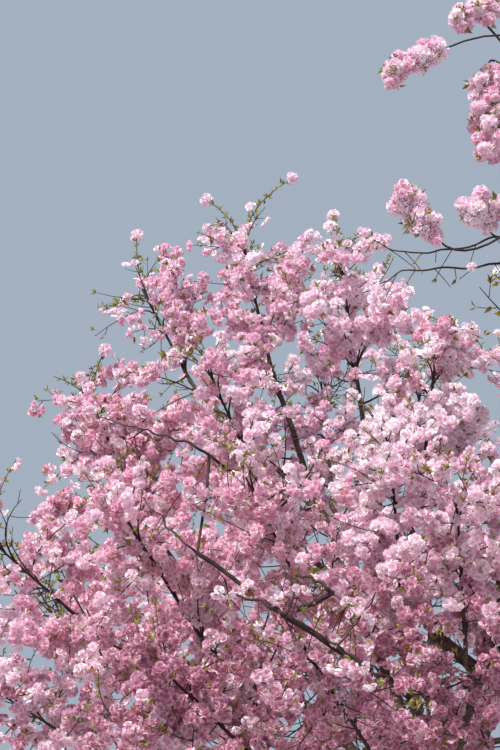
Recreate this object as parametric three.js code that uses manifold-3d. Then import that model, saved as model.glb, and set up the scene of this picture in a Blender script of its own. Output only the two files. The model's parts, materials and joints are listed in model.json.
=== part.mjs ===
// A flowering cherry tree in full double blossom: a trunk with a flared foot, boughs that open like
// a vase, and masses of blossom strung along twigs. Sizes are in millimetres and +Z is up. The
// origin is the middle of the trunk's flat cut at ground level, and the tree is seen along +Y.
import * as THREE from "three";
import { mergeVertices } from "three/addons/utils/BufferGeometryUtils.js";
import Module from "manifold-3d";

const wasm = await Module();
wasm.setup();

// Trunk: a short stem with a swollen old graft at its head, where the boughs part.
const TRUNK_HEIGHT = 2250;
const TRUNK_LEAN = { heading: -12, shift: 90 };
const TRUNK_SIDES = 14;
const FLARE = { width: 0.75, height: 260, lobes: 5, depth: 0.22 };
const GRAFT = { height: 2020, width: 0.32, reach: 190 };

// Boughs: the thickness at a bough's foot follows from how many masses it carries.
const BOUGH_UNIT = 27;
const BOUGH_TIP = 15;
const BOUGH_SIDES = { forked: 6, single: 5 };
const BOUGH_STEPS = 5;
const BOUGH_BEND = 0.34;
const CLEAR = 0.3;

// Masses: a stem through the middle, then twigs to points spread evenly round it, with blossom
// along the outer part of each twig. entry and stem are shares of the mass's own radius.
const ENTRY = 0.8;
const STEM_END = 0.5;
const TWIGS = { shown: 8, hidden: 7, east: 400, north: 700 };
const TWIG = 8;
const BLOSSOM_SIDES = 4;
const BLOSSOM = { least: 168, most: 210, pitch: 450, fewest: 2, end: 0.42 };
const SWELL = { waist: 0.6, taper: 0.1, wander: 0.4, crushed: 0.35 };
const BARE = { least: 0.3, most: 0.46 };
const SPRAY_SIZE = 0.7;
const POMPOM = 80;
const THINNEST = 7;
const USUAL_SPREAD = 800;
const SPACE_GAP = 8;
const EDGE_ROOM = 70;
const TREE_SEED = 11;

// name, the limb it leaves and the share along that limb, then the middle of the mass at its tip:
// heading in degrees from +X, reach from the trunk's line, height, and the radius of its space.
const BOUGHS = [
  bough("top_left", "trunk", 0.97, 171, 1320, 6930, 680),
  bough("top_middle", "trunk", 0.985, -144, 680, 6480, 640),
  bough("left", "trunk", 0.88, -178, 2410, 5400, 740),
  bough("near", "trunk", 0.9, -76.5, 3300, 6320, 780),
  bough("top_right", "trunk", 0.95, -8, 1750, 6250, 950),
  bough("top_back", "trunk", 0.92, 82, 1550, 6120, 900),
  bough("high_left", "top_left", 0.6, 169, 2110, 6610, 640),
  bough("upper_left", "top_left", 0.42, -148, 1720, 5330, 760),
  bough("upper_middle", "top_left", 0.52, 144, 850, 5800, 700),
  bough("high_back_left", "top_left", 0.46, 132, 2150, 5700, 900),
  bough("crown_right", "top_middle", 0.5, -90, 1150, 5380, 700),
  bough("front_middle", "top_middle", 0.34, -101, 1830, 4450, 850),
  bough("front_left", "top_middle", 0.27, -124, 2060, 4250, 850),
  bough("left_edge", "left", 0.5, -166, 2970, 4180, 830),
  bough("left_middle", "left", 0.36, -147, 2370, 4180, 850),
  bough("left_low", "left", 0.22, -163, 2760, 3080, 880),
  bough("left_back", "left", 0.42, 158, 2950, 4100, 1000),
  bough("front_left_low", "near", 0.12, -134, 2350, 3120, 880),
  bough("front_low", "near", 0.18, -111, 2250, 3150, 880),
  bough("front", "near", 0.3, -90, 2320, 3900, 880),
  bough("front_right", "near", 0.38, -64, 2700, 3950, 950),
  bough("near_right", "near", 0.52, -65, 2950, 5150, 950),
  bough("right_high", "top_right", 0.5, 24, 2800, 5600, 950),
  bough("right", "top_right", 0.36, -14, 3080, 4500, 1000),
  bough("right_low", "top_right", 0.2, -38, 2780, 3080, 1000),
  bough("right_back_low", "top_right", 0.26, 18, 2850, 3180, 1000),
  bough("back_right", "top_back", 0.42, 54, 2780, 4500, 1000),
  bough("back_low", "top_back", 0.26, 92, 2600, 3250, 1020),
  bough("back_left", "top_back", 0.4, 126, 2700, 4500, 1000),
];

// Long shoots that stand out of the crown with a pompom at the tip: the mass, then the tip's place.
const SHOOTS = [
  shoot("top_left", 162, 950, 7890),
  shoot("top_left", 170, 1720, 7680),
  shoot("high_left", 168, 2320, 7450),
  shoot("high_left", 170, 2600, 6700),
  shoot("top_middle", -162, 650, 7280),
  shoot("top_middle", -132, 540, 7040),
  shoot("left", -178, 2440, 6180),
  shoot("left", -177, 2850, 5900),
  shoot("left_edge", -169, 3100, 5080),
  shoot("left_edge", -170, 3620, 4540),
  shoot("top_right", -2, 1750, 7400),
  shoot("top_right", -30, 2450, 7050),
  shoot("right_high", 24, 3250, 6650),
  shoot("top_back", 88, 2000, 7050),
  shoot("high_back_left", 134, 2600, 6750),
];

// Long part-bare sprays that hang clear of the near mass, with the bare share of each.
const SPRAYS = [
  spray("near", -98.5, 3440, 6760, 0.66),
  spray("near", -92, 3400, 7040, 0.6),
  spray("near", -97, 3430, 5720, 0.7),
  spray("near", -99, 3240, 5520, 0.86),
];

// Stubs of limbs sawn off long ago: the bough, the share along it, the way it points, its size.
const STUBS = [
  { bough: "top_middle", at: 0.29, heading: -100, rise: 8, length: 170, radius: 48 },
  { bough: "near", at: 0.36, heading: -150, rise: 32, length: 430, radius: 44 },
];

const UP = new THREE.Vector3(0, 0, 1);
const GOLDEN_ANGLE = Math.PI * (3 - Math.sqrt(5));
const BARK_LOOK = { color: 0x4a3a35, roughness: 0.9, metalness: 0 };
const BLOSSOM_LOOK = { roughness: 0.75, metalness: 0 };
const DEEP_PINK = new THREE.Color(0xcf8fab);
const PALE_PINK = new THREE.Color(0xf3cbdd);

function bough(name, from, at, heading, reach, height, spread) {
  return { name, from, at, heading, reach, height, spread };
}

function shoot(mass, heading, reach, height) {
  return { mass, heading, reach, height };
}

function spray(mass, heading, reach, height, bare) {
  return { mass, heading, reach, height, bare };
}

// A stream of numbers from 0 to 1 that is the same each time for one seed.
function stream(seed) {
  let state = seed >>> 0;
  return () => {
    state = (state + 0x6d2b79f5) >>> 0;
    let mixed = Math.imul(state ^ (state >>> 15), state | 1);
    mixed ^= mixed + Math.imul(mixed ^ (mixed >>> 7), mixed | 61);
    return ((mixed ^ (mixed >>> 14)) >>> 0) / 4294967296;
  };
}

function placeOf({ heading, reach, height }) {
  const turn = THREE.MathUtils.degToRad(heading);
  return new THREE.Vector3(reach * Math.cos(turn), reach * Math.sin(turn), height);
}

function wayOf(heading, rise) {
  const tilt = THREE.MathUtils.degToRad(rise);
  return placeOf({ heading, reach: Math.cos(tilt), height: Math.sin(tilt) });
}

function solidOf(geometry) {
  const merged = mergeVertices(geometry, 1e-3);
  return new wasm.Manifold(
    new wasm.Mesh({
      numProp: 3,
      vertProperties: merged.attributes.position.array,
      triVerts: new Uint32Array(merged.index.array),
    }),
  );
}

// A closed tube through rings. Each ring has a place and a radius, and may have the way it faces,
// a shape round its edge, and a turn. A ring of no radius is a point.
function tube(rings, sides) {
  const positions = [];
  const faces = [];
  const starts = [];
  let across = new THREE.Vector3(0.3, 1, 0.2);
  rings.forEach(({ at, way, radius, shape, turn = 0 }, i) => {
    const behind = rings[Math.max(i - 1, 0)].at;
    const ahead = rings[Math.min(i + 1, rings.length - 1)].at;
    const along = (way ?? ahead.clone().sub(behind)).clone().normalize();
    across = across.addScaledVector(along, -across.dot(along)).normalize();
    const third = along.clone().cross(across);
    starts.push(positions.length / 3);
    for (let k = 0; k < (radius > 0 ? sides : 1); k++) {
      const angle = ((k + turn) / sides) * 2 * Math.PI;
      const size = radius * (shape ? shape(angle) : 1);
      const point = at.clone().addScaledVector(across, size * Math.cos(angle));
      positions.push(...point.addScaledVector(third, size * Math.sin(angle)));
    }
  });
  const corner = (i, k) => starts[i] + (rings[i].radius > 0 ? k % sides : 0);
  for (let i = 0; i + 1 < rings.length; i++) {
    for (let k = 0; k < sides; k++) {
      if (rings[i].radius > 0) faces.push(corner(i, k), corner(i, k + 1), corner(i + 1, k));
      if (rings[i + 1].radius > 0) faces.push(corner(i, k + 1), corner(i + 1, k + 1), corner(i + 1, k));
    }
  }
  for (const end of [0, rings.length - 1]) {
    if (rings[end].radius <= 0) continue;
    const middle = positions.length / 3;
    positions.push(...rings[end].at);
    for (let k = 0; k < sides; k++) {
      const pair = [corner(end, k), corner(end, k + 1)];
      if (end === 0) pair.reverse();
      faces.push(...pair, middle);
    }
  }
  const geometry = new THREE.BufferGeometry();
  geometry.setAttribute("position", new THREE.Float32BufferAttribute(positions, 3));
  geometry.setIndex(faces);
  return solidOf(geometry);
}

// How many masses a limb carries, its own included.
function loadOf(name) {
  const own = name === "trunk" ? 0 : 1;
  return BOUGHS.filter((row) => row.from === name).reduce((sum, row) => sum + loadOf(row.name), own);
}

const trunkTop = placeOf({ heading: TRUNK_LEAN.heading, reach: TRUNK_LEAN.shift, height: TRUNK_HEIGHT });

function trunkAxis(share) {
  return new THREE.Vector3(trunkTop.x * share ** 2, trunkTop.y * share ** 2, trunkTop.z * share);
}

function trunkRadius(height) {
  const stem = BOUGH_UNIT * Math.sqrt(loadOf("trunk"));
  const flare = FLARE.width * Math.exp(-height / FLARE.height);
  const graft = GRAFT.width * Math.exp(-(((height - GRAFT.height) / GRAFT.reach) ** 2));
  return stem * (1.06 - 0.08 * (height / TRUNK_HEIGHT) + flare + graft);
}

function trunkSolid(extra) {
  const heights = [0, 60, 160, 320, 600, 1000, 1450, 1780, 1900, 2020, 2130, 2210, TRUNK_HEIGHT];
  const headShare = new Map([[2130, 0.93], [2210, 0.75], [TRUNK_HEIGHT, 0.45]]);
  const rings = heights.map((height) => ({
    at: trunkAxis(height / TRUNK_HEIGHT).addScaledVector(UP, height === TRUNK_HEIGHT ? extra : 0),
    way: height === 0 ? UP : undefined,
    radius: trunkRadius(height) * (headShare.get(height) ?? 1) + extra,
    shape: (angle) => 1 + FLARE.depth * Math.exp(-height / FLARE.height) * Math.cos(FLARE.lobes * angle),
  }));
  return tube(rings, TRUNK_SIDES);
}

// A limb leaves its parent half along the parent's way, and turns upwards before its tip.
function limbOf(row, index, limbs) {
  const parent = limbs.get(row.from);
  const start = parent ? parent.curve.getPoint(row.at) : trunkAxis(row.at);
  const parentWay = parent ? parent.curve.getTangent(row.at) : UP;
  const middle = placeOf(row);
  const straight = middle.clone().sub(start).normalize();
  const startWay = straight.clone().multiplyScalar(0.62).addScaledVector(parentWay, 0.5).normalize();
  const endWay = straight.clone().multiplyScalar(0.78).addScaledVector(UP, 0.3).normalize();
  const tip = middle.clone().addScaledVector(endWay, -ENTRY * row.spread);
  const bend = tip.distanceTo(start) * BOUGH_BEND;
  const leaving = start.clone().addScaledVector(startWay, bend);
  const arriving = tip.clone().addScaledVector(endWay, -bend);
  const curve = new THREE.CubicBezierCurve3(start, leaving, arriving, tip);
  const base = BOUGH_UNIT * Math.sqrt(loadOf(row.name));
  const radiusAt = (share) => base + (BOUGH_TIP - base) * share ** 0.8;
  return { row, index, middle, tip, endWay, curve, radiusAt };
}

function limbSolid(limb, extra) {
  const shares = Array.from({ length: BOUGH_STEPS + 1 }, (_, i) => i / BOUGH_STEPS);
  const rings = shares.map((share) => ({
    at: limb.curve.getPoint(share).addScaledVector(limb.endWay, share === 1 ? extra : 0),
    way: limb.curve.getTangent(share),
    radius: limb.radiusAt(share) + extra,
  }));
  const stubs = STUBS.filter((stub) => stub.bough === limb.row.name);
  const sides = loadOf(limb.row.name) > 1 ? BOUGH_SIDES.forked : BOUGH_SIDES.single;
  return wasm.Manifold.union([tube(rings, sides), ...stubs.map((stub) => stubSolid(limb, stub, extra))]);
}

function stubSolid(limb, stub, extra) {
  const way = wayOf(stub.heading, stub.rise);
  const root = limb.curve.getPoint(stub.at);
  const rings = [0, 0.5, 1].map((share) => ({
    at: root.clone().addScaledVector(way, (stub.length + extra) * share),
    radius: stub.radius * (1.1 - 0.15 * share) + extra,
  }));
  return tube(rings, BOUGH_SIDES.forked);
}

const limbs = new Map();
BOUGHS.forEach((row, index) => limbs.set(row.name, limbOf(row, index, limbs)));
const limbList = [...limbs.values()];

// Short straight pieces of every limb, which twigs and blossom keep clear of.
const PIECES = 12;
const limbPieces = limbList.flatMap((limb) =>
  Array.from({ length: PIECES }, (_, i) => ({
    line: new THREE.Line3(limb.curve.getPoint(i / PIECES), limb.curve.getPoint((i + 1) / PIECES)),
    radius: limb.radiusAt(i / PIECES),
  })),
);

// The room round a point before it leaves its mass's space or meets a limb. The space is a ball,
// cut off by a plane where it meets the next mass's ball. A shoot may leave the ball.
function roomAt(point, limb, leavesBall) {
  let room = leavesBall ? Infinity : limb.row.spread - point.distanceTo(limb.middle);
  const own = point.distanceToSquared(limb.middle) - limb.row.spread ** 2;
  for (const other of limbList) {
    if (other === limb) continue;
    const distance = point.distanceTo(other.middle);
    const theirs = distance ** 2 - other.row.spread ** 2;
    const toPlane = (theirs - own) / (2 * limb.middle.distanceTo(other.middle));
    room = Math.min(room, Math.max(toPlane, distance - other.row.spread));
  }
  const nearest = new THREE.Vector3();
  for (const { line, radius } of limbPieces) {
    line.closestPointToPoint(point, true, nearest);
    room = Math.min(room, nearest.distanceTo(point) - radius);
  }
  return room - SPACE_GAP;
}

// Ways spread evenly round the mass's own direction, but for the part where its bough comes in.
// The masses that the photograph shows have one twig more.
function twigWays(limb, random) {
  const spin = random() * 2 * Math.PI;
  const side = new THREE.Vector3(0.3, 1, 0.2).cross(limb.endWay).normalize();
  const third = limb.endWay.clone().cross(side);
  const shown = limb.middle.x < TWIGS.east && limb.middle.y < TWIGS.north;
  const count = shown ? TWIGS.shown : TWIGS.hidden;
  return Array.from({ length: count }, (_, i) => {
    const rise = 1 - (1.5 * (i + 0.5)) / count;
    const round = Math.sqrt(1 - rise * rise);
    const angle = spin + i * GOLDEN_ANGLE;
    return limb.endWay
      .clone()
      .multiplyScalar(rise)
      .addScaledVector(side, round * Math.cos(angle))
      .addScaledVector(third, round * Math.sin(angle));
  });
}

// The furthest point of the mass's space one way from its middle.
function edgePoint(limb, way) {
  const at = (share) => limb.middle.clone().addScaledVector(way, limb.row.spread * share);
  let share = 0.35;
  while (share < 0.93 && roomAt(at(share + 0.05), limb, false) > EDGE_ROOM) share += 0.05;
  return at(share);
}

function twigCurve(limb, stem, target, random) {
  const outward = target.clone().sub(limb.middle).normalize().dot(limb.endWay);
  const share = THREE.MathUtils.clamp(0.5 + 0.42 * outward + 0.1 * (random() - 0.5), 0.12, 0.95);
  const root = stem.getPoint(share);
  const length = root.distanceTo(target);
  const bend = root.clone().addScaledVector(limb.endWay, length * 0.35).addScaledVector(UP, length * 0.12);
  return { curve: new THREE.QuadraticBezierCurve3(root, bend, target), length };
}

// A bare stalk, then blossom that swells and narrows along the rest of the twig.
function garland({ curve, length }, bare, size, random) {
  const ring = (share, radius, turn) => ({ at: curve.getPoint(share), radius, turn });
  const count = Math.max(BLOSSOM.fewest, Math.round((length * (1 - bare)) / (BLOSSOM.pitch * size)));
  const widest = THREE.MathUtils.lerp(BLOSSOM.least, BLOSSOM.most, random()) * size;
  const end = BLOSSOM.end / count;
  const swells = Array.from({ length: count }, (_, i) => {
    const share = bare + (1 - bare) * THREE.MathUtils.mapLinear(i, 0, count - 1, end, 1 - end);
    const width = widest * (1 - (SWELL.taper * (i + 1)) / count) * (0.85 + 0.3 * random());
    const aside = new THREE.Vector3(random(), random(), random()).addScalar(-0.5);
    return { share, width, aside: aside.multiplyScalar(SWELL.wander * widest) };
  });
  const rings = [ring(0, TWIG, 0), ring(bare, TWIG, 0.5)];
  if (length * bare > BLOSSOM.pitch) rings.splice(1, 0, ring(bare / 2, TWIG, 0));
  swells.forEach(({ share, width, aside }, i) => {
    if (i > 0) {
      const before = swells[i - 1];
      rings.push(ring((before.share + share) / 2, SWELL.waist * Math.min(width, before.width), 0.5));
    }
    const swell = ring(share, width, 0);
    swell.at.add(aside);
    rings.push(swell);
  });
  return [...rings, ring(1, 0, 0)];
}

// A long bare shoot with one pompom at its tip.
function tippedShoot({ curve, length }) {
  const share = (distance) => 1 - distance / length;
  const ring = (at, radius) => ({ at: curve.getPoint(at), radius });
  const neck = share(2 * POMPOM);
  const stalk = [0, neck / 2, neck].map((at) => ring(at, TWIG));
  return [...stalk, ring(share(POMPOM), POMPOM), ring(1, 0)];
}

// Narrows the rings to the room they have, and swells also to stand apart from the swells already
// placed. The twig ends where there is no room.
function fitted(rings, limb, leavesBall, placed) {
  const fits = rings.map((ring) => ({ ...ring }));
  for (let i = 1; i < fits.length; i++) {
    const behind = fits[i - 1];
    const here = fits[i];
    const between = roomAt(behind.at.clone().lerp(here.at, 0.5), limb, leavesBall);
    if (here.radius > 2 * TWIG) {
      const apart = Math.min(...placed.map((swell) => here.at.distanceTo(swell.at) - swell.radius));
      here.radius = Math.min(here.radius, Math.max(SWELL.crushed * here.radius, apart));
    }
    here.radius = Math.min(here.radius, between, roomAt(here.at, limb, leavesBall));
    if (i > 1) behind.radius = Math.min(behind.radius, between);
    const ended = here.radius < THINNEST && i < fits.length - 1;
    if (ended || behind.radius < THINNEST) {
      return i < 4 ? [] : [...fits.slice(0, i - 1), { at: behind.at, radius: 0 }];
    }
  }
  fits[fits.length - 1].radius = 0;
  placed.push(...fits.filter((ring) => ring.radius > 2 * TWIG));
  return fits;
}

function massSolid(limb) {
  const random = stream(TREE_SEED + limb.index * 101);
  const { name, spread } = limb.row;
  const start = limb.tip.clone().addScaledVector(limb.endWay, CLEAR);
  const end = limb.middle.clone().addScaledVector(limb.endWay, spread * STEM_END);
  const stem = new THREE.LineCurve3(start, end);
  const stemRings = [
    { at: start, radius: BOUGH_TIP },
    { at: end, radius: TWIG * 1.5 },
  ];
  const solids = [tube(stemRings, BLOSSOM_SIDES)];
  const placed = [];
  const add = (rings, leavesBall) => {
    const fits = fitted(rings, limb, leavesBall, placed);
    if (fits.length > 0) solids.push(tube(fits, BLOSSOM_SIDES));
  };
  for (const way of twigWays(limb, random)) {
    const twig = twigCurve(limb, stem, edgePoint(limb, way), random);
    const bare = THREE.MathUtils.lerp(BARE.least, BARE.most, random());
    add(garland(twig, bare, spread / USUAL_SPREAD, random), false);
  }
  for (const one of SHOOTS.filter((row) => row.mass === name)) {
    add(tippedShoot(twigCurve(limb, stem, placeOf(one), random)), true);
  }
  for (const one of SPRAYS.filter((row) => row.mass === name)) {
    add(garland(twigCurve(limb, stem, placeOf(one), random), one.bare, SPRAY_SIZE, random), true);
  }
  return largestOf(wasm.Manifold.union(solids));
}

// The whole outer piece: loose scraps and sealed hollows are left out.
function largestOf(solid) {
  return solid.decompose().reduce((best, piece) => (piece.volume() > best.volume() ? piece : best));
}

function meshOf(name, solid, look) {
  const { numProp, vertProperties, triVerts } = solid.getMesh();
  const positions = new Float32Array((vertProperties.length / numProp) * 3);
  for (let i = 0; i < positions.length / 3; i++) {
    positions.set(vertProperties.subarray(i * numProp, i * numProp + 3), i * 3);
  }
  const geometry = new THREE.BufferGeometry();
  geometry.setAttribute("position", new THREE.BufferAttribute(positions, 3));
  geometry.setIndex(new THREE.BufferAttribute(triVerts, 1));
  geometry.computeVertexNormals();
  const mesh = new THREE.Mesh(geometry, new THREE.MeshStandardMaterial(look));
  mesh.name = name;
  return mesh;
}

// Blossom high in the crown is paler than blossom in its shade.
function blossomLook({ height }) {
  const paleness = THREE.MathUtils.smoothstep(height, 3000, 6500);
  return { ...BLOSSOM_LOOK, color: DEEP_PINK.clone().lerp(PALE_PINK, paleness) };
}

const tree = new THREE.Group();
tree.name = "cherry_tree";
tree.add(meshOf("trunk", trunkSolid(0), BARK_LOOK));

// Each bough is cut clear of the trunk and of every bough before it.
const standing = [trunkSolid(CLEAR)];
for (const limb of limbList) {
  const cut = limbSolid(limb, 0).subtract(wasm.Manifold.union(standing));
  tree.add(meshOf(`${limb.row.name}_bough`, largestOf(cut), BARK_LOOK));
  standing.push(limbSolid(limb, CLEAR));
}
for (const limb of limbList) {
  tree.add(meshOf(`${limb.row.name}_blossom`, massSolid(limb), blossomLook(limb.row)));
}

export default tree;
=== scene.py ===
# A flowering cherry in full double pink blossom, grown in metres round its packed trunk, boughs and
# masses. The file follows the tree as it grows: trunk, boughs, twigs, blossom, stalks, young leaves.
import json
import math
from types import SimpleNamespace

import bpy
import numpy as np
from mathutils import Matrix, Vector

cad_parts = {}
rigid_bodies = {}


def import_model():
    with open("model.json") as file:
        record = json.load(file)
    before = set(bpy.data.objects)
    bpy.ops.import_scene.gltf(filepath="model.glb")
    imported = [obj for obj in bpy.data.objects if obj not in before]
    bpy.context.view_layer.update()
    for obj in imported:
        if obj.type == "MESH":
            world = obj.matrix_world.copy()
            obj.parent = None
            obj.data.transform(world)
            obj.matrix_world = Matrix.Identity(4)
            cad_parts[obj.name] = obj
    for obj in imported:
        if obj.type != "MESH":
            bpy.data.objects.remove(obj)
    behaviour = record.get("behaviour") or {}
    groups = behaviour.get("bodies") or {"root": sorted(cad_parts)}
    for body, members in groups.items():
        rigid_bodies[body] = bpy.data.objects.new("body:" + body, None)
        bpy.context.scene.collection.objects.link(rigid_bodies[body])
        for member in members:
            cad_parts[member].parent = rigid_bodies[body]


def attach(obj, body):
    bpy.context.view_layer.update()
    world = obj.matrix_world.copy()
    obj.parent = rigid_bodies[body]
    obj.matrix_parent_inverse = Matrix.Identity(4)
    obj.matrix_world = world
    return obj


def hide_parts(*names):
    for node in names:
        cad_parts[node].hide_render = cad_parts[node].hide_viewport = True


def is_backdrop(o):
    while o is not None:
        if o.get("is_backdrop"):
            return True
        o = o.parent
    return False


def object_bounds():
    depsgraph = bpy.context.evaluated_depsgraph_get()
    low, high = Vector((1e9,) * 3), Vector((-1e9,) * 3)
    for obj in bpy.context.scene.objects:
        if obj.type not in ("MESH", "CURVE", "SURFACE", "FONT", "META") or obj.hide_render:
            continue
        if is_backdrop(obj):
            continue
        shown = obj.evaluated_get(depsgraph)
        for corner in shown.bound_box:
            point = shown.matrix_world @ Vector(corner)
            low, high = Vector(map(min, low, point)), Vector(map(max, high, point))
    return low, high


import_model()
cad_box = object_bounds()


# The view: standing eye height, 12 m in front of the tree and a little to its left, looking up into
# the crown. The floor and the air are pale and plain, with one broad lamp from high on the left.
EYE = (-1.30, -12.0, 1.6)
LOOKING_UP = 20
LENS = 76.8
SENSOR = 36
SUN_FROM = (-0.45, -0.62, 0.95)
SUN_STRENGTH = 6.5
SUN_WIDTH = 7
AIR_COLOUR = "bccadb"
AIR_STRENGTH = 0.74
FLOOR_COLOUR = "a5a4a1"
FLOOR_HALF = 150
FLOOR_DROP = 0.001


def linear(hex_colour):
    """An sRGB hex colour as linear red, green, blue and a full alpha."""
    parts = [int(hex_colour[i : i + 2], 16) / 255 for i in (0, 2, 4)]
    return (*[p / 12.92 if p <= 0.04045 else ((p + 0.055) / 1.055) ** 2.4 for p in parts], 1.0)


def add_node(tree, kind, inputs=None, **settings):
    """Adds a node with its settings. Each input gets a value, a link, or a node's first output."""
    node = tree.nodes.new(kind)
    for key, value in settings.items():
        setattr(node, key, value)
    for key, value in (inputs or {}).items():
        if isinstance(value, bpy.types.Node):
            value = value.outputs[0]
        if isinstance(value, bpy.types.NodeSocket):
            tree.links.new(value, node.inputs[key])
        else:
            node.inputs[key].default_value = value
    return node


def link_object(name, data):
    thing = bpy.data.objects.new(name, data)
    bpy.context.scene.collection.objects.link(thing)
    return thing


def new_material(name):
    material = bpy.data.materials.new(name)
    material.use_nodes = True
    material.node_tree.nodes.clear()
    return material


def finish_material(material, inputs, tint=None, share=0):
    """Gives a material its surface. Where it is thin, a share of the light comes through, tinted."""
    tree = material.node_tree
    surface = add_node(tree, "ShaderNodeBsdfPrincipled", inputs)
    if tint:
        through = add_node(tree, "ShaderNodeBsdfTranslucent", {"Color": tint})
        surface = add_node(tree, "ShaderNodeMixShader", {0: share, 1: surface, 2: through})
    add_node(tree, "ShaderNodeOutputMaterial", {"Surface": surface})
    return material


camera_data = bpy.data.cameras.new("eye")
camera_data.lens = LENS
camera_data.sensor_width = SENSOR
camera_data.clip_end = 400
camera = link_object("eye", camera_data)
camera.location = EYE
camera.rotation_euler = (math.radians(90 + LOOKING_UP), 0, 0)
bpy.context.scene.camera = camera
bpy.context.scene.view_settings.view_transform = "Standard"

sun_data = bpy.data.lights.new("sun", "SUN")
sun_data.energy = SUN_STRENGTH
sun_data.angle = math.radians(SUN_WIDTH)
sun_data.color = linear("fbfcf9")[:3]
sun = link_object("sun", sun_data)
sun.rotation_euler = (
    math.atan2(math.hypot(SUN_FROM[0], SUN_FROM[1]), SUN_FROM[2]),
    0,
    math.atan2(SUN_FROM[1], SUN_FROM[0]) + math.pi / 2,
)

air = bpy.data.worlds.new("air")
air.use_nodes = True
air.node_tree.nodes.clear()
air_light = add_node(
    air.node_tree, "ShaderNodeBackground", {"Color": linear(AIR_COLOUR), "Strength": AIR_STRENGTH}
)
add_node(air.node_tree, "ShaderNodeOutputWorld", {"Surface": air_light})
bpy.context.scene.world = air

floor_mesh = bpy.data.meshes.new("floor")
floor_mesh.from_pydata(
    [(x * FLOOR_HALF, y * FLOOR_HALF, -FLOOR_DROP) for x, y in ((-1, -1), (1, -1), (1, 1), (-1, 1))],
    [],
    [(0, 1, 2, 3)],
)
floor_finish = {"Base Color": linear(FLOOR_COLOUR), "Roughness": 0.9}
floor_mesh.materials.append(finish_material(new_material("painted_floor"), floor_finish))
link_object("floor", floor_mesh)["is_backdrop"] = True


# Trunk: a short stem with a lobed flare at its foot and the swollen old graft at its head, where
# the boughs part. Cherry bark is smooth and brown with breathing pores in level dashes, and it
# turns rough and cracked round the graft and the foot.
TRUNK_HEIGHT = 2.25
TRUNK_LEAN = {"heading": -12, "shift": 0.09}
TRUNK_SIDES = 72
TRUNK_STEP = 0.016
FLARE = {"width": 0.75, "height": 0.26, "lobes": 5, "depth": 0.22}
GRAFT = {"height": 2.02, "width": 0.32, "reach": 0.19}
HEAD_HEIGHTS = (1.9, 2.02, 2.13, 2.21, 2.25)
HEAD_SHARES = (1, 1, 0.93, 0.75, 0.45)
BOUGH_UNIT = 0.027
TRUNK_FOOT = 1.06
TRUNK_TAPER = 0.08
UP = np.array([0.0, 0.0, 1.0])
FIRST_ACROSS = np.array([0.3, 1.0, 0.2])

# name, the limb it leaves and the share along that limb, then the middle of the mass at its tip:
# heading in degrees from +X, reach from the trunk's line, height, and the radius of its space.
BOUGHS = [
    ("top_left", "trunk", 0.97, 171, 1.32, 6.93, 0.68),
    ("top_middle", "trunk", 0.985, -144, 0.68, 6.48, 0.64),
    ("left", "trunk", 0.88, -178, 2.41, 5.4, 0.74),
    ("near", "trunk", 0.9, -76.5, 3.3, 6.32, 0.78),
    ("top_right", "trunk", 0.95, -8, 1.75, 6.25, 0.95),
    ("top_back", "trunk", 0.92, 82, 1.55, 6.12, 0.9),
    ("high_left", "top_left", 0.6, 169, 2.11, 6.61, 0.64),
    ("upper_left", "top_left", 0.42, -148, 1.72, 5.33, 0.76),
    ("upper_middle", "top_left", 0.52, 144, 0.85, 5.8, 0.7),
    ("high_back_left", "top_left", 0.46, 132, 2.15, 5.7, 0.9),
    ("crown_right", "top_middle", 0.5, -90, 1.15, 5.38, 0.7),
    ("front_middle", "top_middle", 0.34, -101, 1.83, 4.45, 0.85),
    ("front_left", "top_middle", 0.27, -124, 2.06, 4.25, 0.85),
    ("left_edge", "left", 0.5, -166, 2.97, 4.18, 0.83),
    ("left_middle", "left", 0.36, -147, 2.37, 4.18, 0.85),
    ("left_low", "left", 0.22, -163, 2.76, 3.08, 0.88),
    ("left_back", "left", 0.42, 158, 2.95, 4.1, 1.0),
    ("front_left_low", "near", 0.12, -134, 2.35, 3.12, 0.88),
    ("front_low", "near", 0.18, -111, 2.25, 3.15, 0.88),
    ("front", "near", 0.3, -90, 2.32, 3.9, 0.88),
    ("front_right", "near", 0.38, -64, 2.7, 3.95, 0.95),
    ("near_right", "near", 0.52, -65, 2.95, 5.15, 0.95),
    ("right_high", "top_right", 0.5, 24, 2.8, 5.6, 0.95),
    ("right", "top_right", 0.36, -14, 3.08, 4.5, 1.0),
    ("right_low", "top_right", 0.2, -38, 2.78, 3.08, 1.0),
    ("right_back_low", "top_right", 0.26, 18, 2.85, 3.18, 1.0),
    ("back_right", "top_back", 0.42, 54, 2.78, 4.5, 1.0),
    ("back_low", "top_back", 0.26, 92, 2.6, 3.25, 1.02),
    ("back_left", "top_back", 0.4, 126, 2.7, 4.5, 1.0),
]


def place_of(heading, reach, height):
    turn = math.radians(heading)
    return np.array([reach * math.cos(turn), reach * math.sin(turn), height])


def unit(vectors):
    return vectors / np.linalg.norm(vectors, axis=-1, keepdims=True)


def load_of(name):
    """How many masses a limb carries, its own included."""
    return (name != "trunk") + sum(load_of(row[0]) for row in BOUGHS if row[1] == name)


trunk_top = place_of(TRUNK_LEAN["heading"], TRUNK_LEAN["shift"], TRUNK_HEIGHT)


def trunk_axis(share):
    share = np.asarray(share, float)[..., None]
    return np.concatenate([trunk_top[:2] * share**2, trunk_top[2:] * share], axis=-1)


def trunk_radius(height):
    stem = BOUGH_UNIT * math.sqrt(load_of("trunk"))
    flare = FLARE["width"] * np.exp(-height / FLARE["height"])
    graft = GRAFT["width"] * np.exp(-(((height - GRAFT["height"]) / GRAFT["reach"]) ** 2))
    head = np.interp(height, HEAD_HEIGHTS, HEAD_SHARES)
    return stem * (TRUNK_FOOT - TRUNK_TAPER * height / TRUNK_HEIGHT + flare + graft) * head


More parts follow.
